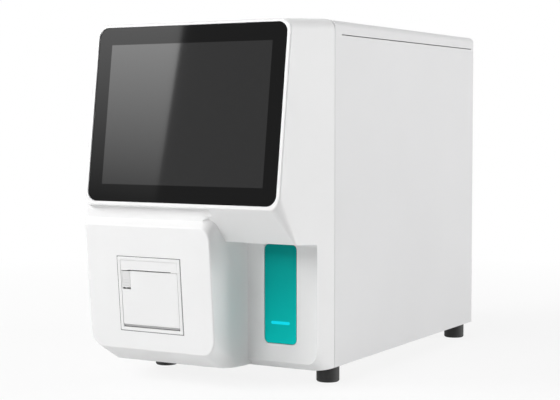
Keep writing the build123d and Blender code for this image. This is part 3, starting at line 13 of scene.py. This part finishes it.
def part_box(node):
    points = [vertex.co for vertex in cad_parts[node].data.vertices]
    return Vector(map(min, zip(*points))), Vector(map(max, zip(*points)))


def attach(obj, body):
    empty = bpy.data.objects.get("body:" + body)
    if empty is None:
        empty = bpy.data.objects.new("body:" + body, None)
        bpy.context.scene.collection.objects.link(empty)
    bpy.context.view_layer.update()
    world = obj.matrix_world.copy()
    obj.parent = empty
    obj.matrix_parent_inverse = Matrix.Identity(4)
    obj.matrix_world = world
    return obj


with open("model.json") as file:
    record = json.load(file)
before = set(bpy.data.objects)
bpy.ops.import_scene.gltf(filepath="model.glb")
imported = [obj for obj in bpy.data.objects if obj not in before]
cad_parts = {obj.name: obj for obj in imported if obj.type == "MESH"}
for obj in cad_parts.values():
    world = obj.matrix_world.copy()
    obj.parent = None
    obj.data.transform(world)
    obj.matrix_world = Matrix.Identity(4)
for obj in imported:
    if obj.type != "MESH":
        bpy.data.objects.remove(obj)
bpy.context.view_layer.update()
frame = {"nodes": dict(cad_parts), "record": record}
nodes = frame["nodes"]

# Places read from the frame
BULKHEAD_BACK = 0.004            # from the seam to the bulkhead's front face
seam_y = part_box("bulkhead")[0].y - BULKHEAD_BACK
case_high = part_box("top_cover")[1]
shell_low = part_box("front_shell")[0]
glass_low, glass_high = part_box("touch_glass")
bezel_low, bezel_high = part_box("printer_bezel")
key_low, key_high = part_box("aspirate_key")
screws_low, screws_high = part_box("rear_screws")

# Screen: its lean, and the picture behind the glass
SCREEN_TILT = radians(7.92)
DISPLAY_WIDTH = 0.2112
DISPLAY_HEIGHT = 0.1584
WINDOW_EDGE = 0.0002             # half the soft edge round the window

# Colours, as linear light
WHITE_SHELL = (0.84, 0.84, 0.84)
WHITE_PANEL = (0.755, 0.755, 0.76)
WHITE_PRINTER = (0.83, 0.83, 0.83)
GREY_PRINTER = (0.20, 0.20, 0.205)
GLASS_BORDER = (0.0008, 0.0008, 0.0009)
GLASS_WINDOW = (0.0050, 0.0050, 0.0052)
DISPLAY_DARK = (0.01, 0.01, 0.01)
TEAL = (0.0, 0.60, 0.565)
# Painted shade: the teal darkened towards the key's head under the bay ceiling
TEAL_CEILING_SHADE = (0.0, 0.30, 0.275)
LIGHT_CYAN = (0.0, 0.40, 0.48)
LIGHT_CYAN_BRIGHT = (0.002, 0.46, 0.54)
RUBBER = (0.014, 0.014, 0.014)
STEEL = (0.60, 0.60, 0.61)
ZINC = (0.52, 0.52, 0.50)
ALUMINIUM = (0.64, 0.64, 0.65)
BLACK_PLASTIC = (0.018, 0.018, 0.019)
CARD = (0.34, 0.22, 0.12)
PAPER = (0.84, 0.84, 0.82)
SOLDER_MASK = (0.012, 0.085, 0.03)
MILKY = (0.66, 0.68, 0.68)
# Dark grey for the strips in the gaps of the seam and round the bezel: painted shade
GAP_SHADE_GREY = (0.20, 0.20, 0.20)
# Mid grey of the lip in the slot at the door's foot: painted shade of the slot
SLOT_SHADE_GREY = (0.40, 0.40, 0.40)
# Printer white darkened for the release lever: painted shade
LEVER_PAINTED_SHADE = (0.72, 0.72, 0.72)
FLOOR_PALE = (0.9, 0.9, 0.9)

# Depth of the grain under a bump node
MOULD_GRAIN_DEPTH = 0.00004
KEY_GRAIN_DEPTH = 0.00003
SCRATCH_DEPTH = 0.00002


# Shader node groups shared by the finishes
def group_socket(group, name, kind, direction, value=None):
    socket = group.interface.new_socket(name=name, in_out=direction, socket_type=kind)
    if value is not None:
        socket.default_value = value


def moulded_texture_group():
    """Fine spark-eroded grain: a height for bump and a slow change of tone over the part."""
    group = bpy.data.node_groups.new("moulded_texture", "ShaderNodeTree")
    group_socket(group, "Grain Size", "NodeSocketFloat", "INPUT", 2600.0)
    group_socket(group, "Tone Size", "NodeSocketFloat", "INPUT", 7.0)
    group_socket(group, "Height", "NodeSocketFloat", "OUTPUT")
    group_socket(group, "Tone", "NodeSocketFloat", "OUTPUT")
    inner = group.nodes
    link = group.links.new
    given = inner.new("NodeGroupInput")
    out = inner.new("NodeGroupOutput")
    place = inner.new("ShaderNodeTexCoord")
    grain = inner.new("ShaderNodeTexNoise")
    grain.inputs["Detail"].default_value = 3.0
    tone = inner.new("ShaderNodeTexNoise")
    tone.inputs["Detail"].default_value = 2.0
    link(place.outputs["Object"], grain.inputs["Vector"])
    link(place.outputs["Object"], tone.inputs["Vector"])
    link(given.outputs["Grain Size"], grain.inputs["Scale"])
    link(given.outputs["Tone Size"], tone.inputs["Scale"])
    link(grain.outputs["Fac"], out.inputs["Height"])
    link(tone.outputs["Fac"], out.inputs["Tone"])
    return group


def brushed_texture_group():
    """Long fine scratches along one axis, for rolled, drawn and ground metal."""
    group = bpy.data.node_groups.new("brushed_texture", "ShaderNodeTree")
    group_socket(group, "Stretch", "NodeSocketVector", "INPUT")
    group_socket(group, "Height", "NodeSocketFloat", "OUTPUT")
    inner = group.nodes
    link = group.links.new
    given = inner.new("NodeGroupInput")
    out = inner.new("NodeGroupOutput")
    place = inner.new("ShaderNodeTexCoord")
    stretch = inner.new("ShaderNodeVectorMath")
    stretch.operation = "MULTIPLY"
    grain = inner.new("ShaderNodeTexNoise")
    grain.inputs["Scale"].default_value = 1.0
    grain.inputs["Detail"].default_value = 4.0
    link(place.outputs["Object"], stretch.inputs[0])
    link(given.outputs["Stretch"], stretch.inputs[1])
    link(stretch.outputs["Vector"], grain.inputs["Vector"])
    link(grain.outputs["Fac"], out.inputs["Height"])
    return group


MOULDED = moulded_texture_group()
BRUSHED = brushed_texture_group()


def new_finish(name, color, roughness, metallic=0.0, specular=0.5):
    """Material with its Principled shader; returns it with the shader for more links."""
    material = bpy.data.materials.new(name)
    material.use_nodes = True
    shader = material.node_tree.nodes["Principled BSDF"]
    shader.inputs["Base Color"].default_value = (*color, 1.0)
    shader.inputs["Roughness"].default_value = roughness
    shader.inputs["Metallic"].default_value = metallic
    shader.inputs["Specular IOR Level"].default_value = specular
    return material, shader


def put_group(material, group, **values):
    placed = material.node_tree.nodes.new("ShaderNodeGroup")
    placed.node_tree = group
    for name, value in values.items():
        placed.inputs[name.replace("_", " ")].default_value = value
    return placed


def mix_color(material, factor, low, high):
    """Mix of two colours by a factor that changes over the surface; returns its output."""
    mix = material.node_tree.nodes.new("ShaderNodeMix")
    mix.data_type = "RGBA"
    mix.inputs["A"].default_value = (*low, 1.0)
    mix.inputs["B"].default_value = (*high, 1.0)
    material.node_tree.links.new(factor, mix.inputs["Factor"])
    return mix.outputs["Result"]


def tone_color(material, shader, factor, low, high):
    """Base colour that drifts between two close tones."""
    material.node_tree.links.new(mix_color(material, factor, low, high), shader.inputs["Base Color"])


def add_bump(material, shader, height, strength, distance):
    bump = material.node_tree.nodes.new("ShaderNodeBump")
    bump.inputs["Strength"].default_value = strength
    bump.inputs["Distance"].default_value = distance
    material.node_tree.links.new(height, bump.inputs["Height"])
    material.node_tree.links.new(bump.outputs["Normal"], shader.inputs["Normal"])


def scaled(color, factor):
    return tuple(min(1.0, channel * factor) for channel in color)


def moulded(name, color, roughness, grain=2600.0, strength=0.12, tone=0.03):
    """Moulded or powder-coated surface: grain in the gloss and a hardly visible drift of tone."""
    material, shader = new_finish(name, color, roughness)
    texture = put_group(material, MOULDED, Grain_Size=grain)
    tone_color(material, shader, texture.outputs["Tone"], scaled(color, 1 - tone), scaled(color, 1 + tone))
    add_bump(material, shader, texture.outputs["Height"], strength, MOULD_GRAIN_DEPTH)
    return material


def metal(name, color, roughness, stretch, strength=0.15):
    """Bare or plated metal with scratches along the axis that is stretched least."""
    material, shader = new_finish(name, color, roughness, metallic=1.0)
    texture = put_group(material, BRUSHED, Stretch=stretch)
    add_bump(material, shader, texture.outputs["Height"], strength, SCRATCH_DEPTH)
    return material


def band(tree, socket, centre, half_width):
    """1 inside the band and 0 outside, with an edge that is barely soft."""
    offset = tree.nodes.new("ShaderNodeMath")
    offset.operation = "SUBTRACT"
    offset.inputs[1].default_value = centre
    size = tree.nodes.new("ShaderNodeMath")
    size.operation = "ABSOLUTE"
    edge = tree.nodes.new("ShaderNodeMapRange")
    edge.inputs["From Min"].default_value = half_width + WINDOW_EDGE
    edge.inputs["From Max"].default_value = half_width - WINDOW_EDGE
    tree.links.new(socket, offset.inputs[0])
    tree.links.new(offset.outputs[0], size.inputs[0])
    tree.links.new(size.outputs[0], edge.inputs["Value"])
    return edge.outputs["Result"]


def screen_finish():
    """Black glass: printed border, and a window whose bonded display adds to the reflection."""
    material, shader = new_finish("screen_glass", GLASS_BORDER, 0.04, specular=0.15)
    shader.inputs["Coat IOR"].default_value = 1.31
    shader.inputs["Coat Roughness"].default_value = 0.03
    tree = material.node_tree
    place = tree.nodes.new("ShaderNodeTexCoord")
    split = tree.nodes.new("ShaderNodeSeparateXYZ")
    tree.links.new(place.outputs["Object"], split.inputs["Vector"])
    window_z = (glass_low.z + glass_high.z) / 2
    half_height = DISPLAY_HEIGHT / 2 * cos(SCREEN_TILT)
    inside = tree.nodes.new("ShaderNodeMath")
    inside.operation = "MULTIPLY"
    tree.links.new(band(tree, split.outputs["X"], 0.0, DISPLAY_WIDTH / 2), inside.inputs[0])
    tree.links.new(band(tree, split.outputs["Z"], window_z, half_height), inside.inputs[1])
    tone_color(material, shader, inside.outputs[0], GLASS_BORDER, GLASS_WINDOW)
    tree.links.new(inside.outputs[0], shader.inputs["Coat Weight"])
    return material


def key_finish():
    """Teal moulding, with painted shade that darkens it towards its head where it runs up under the bay
    ceiling.
    """
    material, shader = new_finish("teal_key", TEAL, 0.4, specular=0.06)
    tree = material.node_tree
    texture = put_group(material, MOULDED, Grain_Size=3200.0)
    place = tree.nodes.new("ShaderNodeTexCoord")
    split = tree.nodes.new("ShaderNodeSeparateXYZ")
    # Painted shade under the bay ceiling: the teal darkens with height up the key
    shade_rise = tree.nodes.new("ShaderNodeMapRange")
    shade_rise.inputs["From Min"].default_value = key_low.z
    shade_rise.inputs["From Max"].default_value = key_high.z
    tree.links.new(place.outputs["Object"], split.inputs["Vector"])
    tree.links.new(split.outputs["Z"], shade_rise.inputs["Value"])
    tone_color(material, shader, shade_rise.outputs["Result"], TEAL, TEAL_CEILING_SHADE)
    add_bump(material, shader, texture.outputs["Height"], 0.05, KEY_GRAIN_DEPTH)
    return material


def light_finish():
    """Lit window in the key: cyan diffuser with a fine cloud in its glow."""
    material, shader = new_finish("light_bar", LIGHT_CYAN, 0.35, specular=0.1)
    texture = put_group(material, MOULDED, Grain_Size=900.0)
    glow = mix_color(material, texture.outputs["Height"], scaled(LIGHT_CYAN, 0.9), LIGHT_CYAN_BRIGHT)
    material.node_tree.links.new(glow, shader.inputs["Base Color"])
    material.node_tree.links.new(glow, shader.inputs["Emission Color"])
    shader.inputs["Emission Strength"].default_value = 1.0
    return material


FINISHES = {
    "white_shell": moulded("white_shell", WHITE_SHELL, 0.42, strength=0.1),
    "white_panel": moulded("white_panel", WHITE_PANEL, 0.45, grain=1500.0, strength=0.14),
    "screen_glass": screen_finish(),
    "display_dark": moulded("display_dark", DISPLAY_DARK, 0.3),
    "plated_steel": metal("plated_steel", ZINC, 0.38, (60.0, 1400.0, 1400.0)),
    "printer_white": moulded("printer_white", WHITE_PRINTER, 0.4, grain=3000.0),
    "printer_grey": moulded("printer_grey", GREY_PRINTER, 0.5),
    "dark_plastic": moulded("dark_plastic", BLACK_PLASTIC, 0.42, tone=0.1),
    "rubber_black": moulded("rubber_black", RUBBER, 0.62, grain=1800.0, strength=0.3, tone=0.15),
    "steel": metal("steel", STEEL, 0.2, (1200.0, 1200.0, 80.0)),
    "paper_white": moulded("paper_white", PAPER, 0.7, grain=1200.0, strength=0.1),
    "core_card": moulded("core_card", CARD, 0.85, grain=900.0, strength=0.3, tone=0.1),
    "teal_key": key_finish(),
    "light_bar": light_finish(),
    "circuit_board": moulded("circuit_board", SOLDER_MASK, 0.3, grain=600.0, tone=0.2),
    "aluminium": metal("aluminium", ALUMINIUM, 0.3, (900.0, 60.0, 900.0)),
    "clear_plastic": moulded("clear_plastic", MILKY, 0.2, tone=0.02),
    # Painted shade: dark grey for the strips in the seam and round the bezel
    "gap_shade_grey": moulded("gap_shade_grey", GAP_SHADE_GREY, 0.9, grain=1600.0, strength=0.4, tone=0.15),
    # Painted shade: the mid grey of the slot at the door's foot
    "slot_shade_grey": moulded("slot_shade_grey", SLOT_SHADE_GREY, 0.6, grain=2000.0, tone=0.08),
    # Painted shade: the lever's grey stands for the shade on the lever
    "lever_painted_shade": moulded("lever_painted_shade", LEVER_PAINTED_SHADE, 0.42, grain=3000.0),
}


def dress_nodes():
    """Gives each node the finish that the record names for it, and the lever a greyer white that paints
    the shade on it.
    """
    slots = {part["node"]: part["material_slot"] for part in frame["record"]["subparts"]}
    for name, thing in nodes.items():
        thing.data.materials.clear()
        thing.data.materials.append(FINISHES[slots[name]])
    # Painted shade on the release lever
    nodes["release_lever"].data.materials[0] = FINISHES["lever_painted_shade"]


dress_nodes()


# Thin pieces added over the imported model: dark and grey ones that paint shade into gaps, slots and
# recesses
def strip_solid(name, outer, inner, place, depths, closed, finish, body):
    """Solid strip between two outlines of as many points, from one depth to another.

    place turns an outline point and a depth into a point of the scene. A closed strip joins its ends.
    """
    mesh = bpy.data.meshes.new(name)
    build = bmesh.new()
    near_depth, far_depth = depths
    rows = []
    for outer_point, inner_point in zip(outer, inner):
        corners = [
            place(*outer_point, near_depth), place(*outer_point, far_depth),
            place(*inner_point, far_depth), place(*inner_point, near_depth),
        ]
        rows.append([build.verts.new(corner) for corner in corners])
    pairs = list(zip(rows, rows[1:]))
    if closed:
        pairs.append((rows[-1], rows[0]))
    else:
        build.faces.new(rows[0])
        build.faces.new(rows[-1])
    for near, far in pairs:
        for index in range(4):
            following = (index + 1) % 4
            build.faces.new((near[index], near[following], far[following], far[index]))
    bmesh.ops.recalc_face_normals(build, faces=build.faces)
    build.to_mesh(mesh)
    build.free()
    strip = bpy.data.objects.new(name, mesh)
    bpy.context.scene.collection.objects.link(strip)
    mesh.materials.append(FINISHES[finish])
    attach(strip, body)


def arch(half_width, foot, head, radius, steps=8):
    """Outline from the left foot over two rounded corners to the right foot."""
    points = [(-half_width, foot)]
    for centre_x, start in ((radius - half_width, pi), (half_width - radius, pi / 2)):
        for step in range(steps + 1):
            turn = start - step * pi / 2 / steps
            points.append((centre_x + radius * cos(turn), head - radius + radius * sin(turn)))
    points.append((half_width, foot))
    return points


def square(half_size):
    return [
        (-half_size, -half_size),
        (half_size, -half_size),
        (half_size, half_size),
        (-half_size, half_size),
    ]


# Dark strip in the shadow gap between front shell and rear case, bedded on the shell's tongue: painted
# shade that darkens the seam
TONGUE_INSET = 0.001
TONGUE_CORNER = 0.012            # radius
SHADE_STRIP_THICKNESS = 0.0001
SEAM_GAP = 0.0008
SHADE_STRIP_CLEARANCE = 0.00005         # to both sides of the gap


def on_seam(x, z, depth):
    """Point in the seam, behind the rear edge of the front shell."""
    return Vector((x, seam_y + depth, z))


def add_seam_shade_strip():
    half_width = case_high.x - TONGUE_INSET
    head = case_high.z - TONGUE_INSET
    # Painted shade: a dark skin in the seam's gap
    strip_solid(
        "seam_shade_strip",
        arch(half_width + SHADE_STRIP_THICKNESS, shell_low.z, head + SHADE_STRIP_THICKNESS, TONGUE_CORNER + SHADE_STRIP_THICKNESS),
        arch(half_width, shell_low.z, head, TONGUE_CORNER),
        on_seam, (SHADE_STRIP_CLEARANCE, SEAM_GAP - SHADE_STRIP_CLEARANCE), False, "gap_shade_grey", "analyzer_body",
    )


# Dark ring in the gap round the printer's bezel, painted shade that darkens its outline; and the soft lip
# that closes the door's foot, whose grey is painted shade of the slot
PRINTER_LEAN = radians(4.95)
BEZEL_FACE_DEPTH = 0.0004        # from the middle of the bezel to the block's face
BEZEL_BORDER = 0.0038
GAP_SHADE_WIDTH = 0.0009
GAP_SHADE_CLEARANCE = 0.00002       # to the bezel
GAP_SHADE_DEPTHS = (-0.00003, 0.0013)
LIP_HALF = 0.0374
LIP_HEIGHT = 0.0018
LIP_HEAD = 0.0028                # above the foot of the bezel's opening
LIP_DEPTHS = (0.0003, 0.0016)
bezel_half = (bezel_high.x - bezel_low.x) / 2
bezel_middle = (bezel_low + bezel_high) / 2
face_out = Vector((0.0, -cos(PRINTER_LEAN), -sin(PRINTER_LEAN)))
face_up = Vector((0.0, -sin(PRINTER_LEAN), cos(PRINTER_LEAN)))


def on_printer(x, up, depth):
    """Point on the printer's face, beside and above its middle, and behind the block's face."""
    return bezel_middle + Vector((x, 0.0, 0.0)) + face_up * up + face_out * (BEZEL_FACE_DEPTH - depth)


def add_bezel_gap_shade():
    # Painted shade: a dark ring in the gap round the bezel
    strip_solid(
        "bezel_gap_shade", square(bezel_half + GAP_SHADE_WIDTH), square(bezel_half + GAP_SHADE_CLEARANCE),
        on_printer, GAP_SHADE_DEPTHS, True, "gap_shade_grey", "analyzer_body",
    )


def add_door_lip():
    head = LIP_HEAD - (bezel_half - BEZEL_BORDER)
    foot = head - LIP_HEIGHT
    # Painted shade: the lip's grey stands for the shade in the slot
    strip_solid(
        "door_foot_lip", [(-LIP_HALF, head), (LIP_HALF, head)], [(-LIP_HALF, foot), (LIP_HALF, foot)],
        on_printer, LIP_DEPTHS, False, "slot_shade_grey", "printer_door",
    )


# Cross recesses of the rear screws, drawn as dark crosses on the heads: painted shade of the hollows
SCREW_HEAD = 0.0036              # radius
CROSS_ARM = 0.0021
CROSS_HALF = 0.00035             # half the width of an arm
CROSS_MIDDLE = 0.2               # share of the recess that its hollow middle takes
CROSS_DEPTHS = (-0.0004, 0.00003)
MIDDLE_SCREWS = 0.200            # height of the middle pair


def on_screws(x, z, depth):
    """Point at the heads of the rear screws."""
    return Vector((x, screws_high.y + depth, z))


def cross(centre_x, centre_z, size):
    """Outline of a recess, walked round its twelve corners."""
    points = []
    for quarter in range(4):
        along = Vector((cos(quarter * pi / 2), sin(quarter * pi / 2)))
        aside = Vector((-along.y, along.x))
        corners = (
            along * CROSS_ARM - aside * CROSS_HALF,
            along * CROSS_ARM + aside * CROSS_HALF,
            along * CROSS_HALF + aside * CROSS_HALF,
        )
        points.extend((centre_x + corner.x * size, centre_z + corner.y * size) for corner in corners)
    return points


def add_painted_cross_shade():
    for column, x in enumerate((screws_low.x + SCREW_HEAD, screws_high.x - SCREW_HEAD)):
        for row, z in enumerate((screws_low.z + SCREW_HEAD, MIDDLE_SCREWS, screws_high.z - SCREW_HEAD)):
            # Painted shade: a dark cross stands for the shaded hollow of each recess
            strip_solid(
                f"painted_cross_shade_{column}_{row}", cross(x, z, 1.0), cross(x, z, CROSS_MIDDLE),
                on_screws, CROSS_DEPTHS, True, "dark_plastic", "analyzer_body",
            )


add_seam_shade_strip()
add_bezel_gap_shade()
add_door_lip()
add_painted_cross_shade()


# Camera at the photograph's place
FRAME_WIDTH = 560
FOCAL_PIXELS = 1382.53
SENSOR_WIDTH = 36.0              # millimetres
YAW = radians(29.86)
PITCH = radians(3.37)
ROLL = radians(-0.05)
CAMERA_PLACE = Vector((0.8480, seam_y - 1.37655, 0.30072))


def make_camera():
    camera = bpy.data.objects.new("camera", bpy.data.cameras.new("camera"))
    bpy.context.scene.collection.objects.link(camera)
    camera.data.sensor_width = SENSOR_WIDTH
    camera.data.lens = SENSOR_WIDTH * FOCAL_PIXELS / FRAME_WIDTH
    camera.data.clip_start = 0.05
    camera.data.clip_end = 60.0
    back = Vector((sin(YAW) * cos(PITCH), -cos(YAW) * cos(PITCH), sin(PITCH)))
    right = Vector((cos(YAW), sin(YAW), 0.0))
    up = back.cross(right)
    turn = Matrix((right, up, back)).transposed().to_4x4()
    camera.matrix_world = Matrix.Translation(CAMERA_PLACE) @ turn @ Matrix.Rotation(ROLL, 4, "Z")
    bpy.context.scene.camera = camera


# Studio: the ambient light's strength, and each lamp's place, width, height and power in watts
AMBIENT = 0.22
LAMPS_AIM = Vector((0.0, 0.0, 0.2))
LAMPS = {
    "key_light": ((-2.1, -2.3, 2.3), 1.3, 1.3, 72.0),
    "side_light": ((4.2, 2.6, 1.1), 2.2, 2.0, 134.0),
    "top_light": ((0.0, 0.1, 3.2), 2.4, 2.4, 12.0),
    "front_light": ((-0.8, -3.4, 1.6), 1.2, 1.0, 34.0),
}


def area_light(name, place, width, height, power):
    light = bpy.data.lights.new(name, "AREA")
    light.shape = "RECTANGLE"
    light.size = width
    light.size_y = height
    light.energy = power
    lamp = bpy.data.objects.new(name, light)
    bpy.context.scene.collection.objects.link(lamp)
    lamp.location = place
    lamp.rotation_euler = (LAMPS_AIM - Vector(place)).to_track_quat("-Z", "Y").to_euler()


def seen_directly(tree):
    """1 for rays of the camera and for what metal and glass show, 0 for the light on the object."""
    path = tree.nodes.new("ShaderNodeLightPath")
    total = path.outputs["Is Camera Ray"]
    for name in ("Is Glossy Ray", "Is Transmission Ray"):
        larger = tree.nodes.new("ShaderNodeMath")
        larger.operation = "MAXIMUM"
        tree.links.new(total, larger.inputs[0])
        tree.links.new(path.outputs[name], larger.inputs[1])
        total = larger.outputs[0]
    return total


def make_world():
    """Soft ambient light; the camera and mirrors see a plain white studio."""
    world = bpy.data.worlds.new("studio")
    bpy.context.scene.world = world
    world.use_nodes = True
    tree = world.node_tree
    ambient = tree.nodes["Background"]
    ambient.inputs["Color"].default_value = (1.0, 1.0, 1.0, 1.0)
    ambient.inputs["Strength"].default_value = AMBIENT
    seen = tree.nodes.new("ShaderNodeBackground")
    seen.inputs["Color"].default_value = (1.0, 1.0, 1.0, 1.0)
    seen.inputs["Strength"].default_value = 1.0
    mix = tree.nodes.new("ShaderNodeMixShader")
    link = tree.links.new
    link(seen_directly(tree), mix.inputs["Fac"])
    link(ambient.outputs["Background"], mix.inputs[1])
    link(seen.outputs["Background"], mix.inputs[2])
    link(mix.outputs["Shader"], tree.nodes["World Output"].inputs["Surface"])


# Floor: the share of white that the camera sees grows from FADE_START to FADE_END from the middle
FLOOR_HALF = 8.0
FLOOR_DROP = 0.0002              # below the feet
FADE_START = 0.35
FADE_END = 1.3
NEAR_SHARE = 0.85


def make_floor():
    """Plain pale floor that goes white for the camera and keeps the soft shadow."""
    mesh = bpy.data.meshes.new("floor")
    build = bmesh.new()
    bmesh.ops.create_grid(build, x_segments=1, y_segments=1, size=FLOOR_HALF)
    build.to_mesh(mesh)
    build.free()
    floor = bpy.data.objects.new("floor", mesh)
    floor.location = (0.0, 0.0, -FLOOR_DROP)
    bpy.context.scene.collection.objects.link(floor)
    material, shader = new_finish("floor", FLOOR_PALE, 0.9, specular=0.0)
    tree = material.node_tree
    white = tree.nodes.new("ShaderNodeEmission")
    place = tree.nodes.new("ShaderNodeTexCoord")
    reach = tree.nodes.new("ShaderNodeVectorMath")
    reach.operation = "LENGTH"
    fade = tree.nodes.new("ShaderNodeMapRange")
    fade.inputs["From Min"].default_value = FADE_START
    fade.inputs["From Max"].default_value = FADE_END
    fade.inputs["To Min"].default_value = NEAR_SHARE
    fade.inputs["To Max"].default_value = 1.0
    share = tree.nodes.new("ShaderNodeMath")
    share.operation = "MULTIPLY"
    mix = tree.nodes.new("ShaderNodeMixShader")
    link = tree.links.new
    link(place.outputs["Object"], reach.inputs[0])
    link(reach.outputs["Value"], fade.inputs["Value"])
    link(seen_directly(tree), share.inputs[0])
    link(fade.outputs["Result"], share.inputs[1])
    link(share.outputs[0], mix.inputs["Fac"])
    link(shader.outputs["BSDF"], mix.inputs[1])
    link(white.outputs["Emission"], mix.inputs[2])
    link(mix.outputs["Shader"], tree.nodes["Material Output"].inputs["Surface"])
    mesh.materials.append(material)


# Reflection card: its near edge stands CARD_REACH from CARD_AIM on the glass, at CARD_TURN to the left
CARD_AIM = Vector((-0.021, seam_y - 0.110, 0.30))
CARD_TURN = radians(35.5)
CARD_REACH = 3.0
CARD_WIDTH = 1.6
CARD_FOOT = 0.68
CARD_HEAD = 1.38
CARD_DIM = 1.0                   # strength at its foot
CARD_BRIGHT = 8.0                # strength at its head


def make_reflection_card():
    """Tall soft card to the operator's left: its edge stands in the screen as the slanting sheen."""
    edge = CARD_AIM + Vector((-sin(CARD_TURN), -cos(CARD_TURN), 0.0)) * CARD_REACH
    outward = Vector((-cos(CARD_TURN), sin(CARD_TURN), 0.0))
    mesh = bpy.data.meshes.new("reflection_card")
    corners = [edge, edge + outward * CARD_WIDTH]
    points = [(corner.x, corner.y, z) for z in (CARD_FOOT, CARD_HEAD) for corner in corners]
    mesh.from_pydata(points, [], [(0, 1, 3, 2)])
    card = bpy.data.objects.new("reflection_card", mesh)
    bpy.context.scene.collection.objects.link(card)
    material = bpy.data.materials.new("reflection_card")
    material.use_nodes = True
    tree = material.node_tree
    tree.nodes.remove(tree.nodes["Principled BSDF"])
    glow = tree.nodes.new("ShaderNodeEmission")
    place = tree.nodes.new("ShaderNodeTexCoord")
    split = tree.nodes.new("ShaderNodeSeparateXYZ")
    ramp = tree.nodes.new("ShaderNodeMapRange")
    ramp.inputs["From Min"].default_value = CARD_FOOT
    ramp.inputs["From Max"].default_value = CARD_HEAD
    ramp.inputs["To Min"].default_value = CARD_DIM
    ramp.inputs["To Max"].default_value = CARD_BRIGHT
    link = tree.links.new
    link(place.outputs["Object"], split.inputs["Vector"])
    link(split.outputs["Z"], ramp.inputs["Value"])
    link(ramp.outputs["Result"], glow.inputs["Strength"])
    link(glow.outputs["Emission"], tree.nodes["Material Output"].inputs["Surface"])
    mesh.materials.append(material)
    card.visible_camera = False
    card.visible_diffuse = False
    card.visible_shadow = False


make_camera()
make_world()
make_floor()
make_reflection_card()
for lamp_name, (lamp_place, lamp_width, lamp_height, lamp_power) in LAMPS.items():
    area_light(lamp_name, lamp_place, lamp_width, lamp_height, lamp_power)
bpy.context.scene.view_settings.view_transform = "Standard"
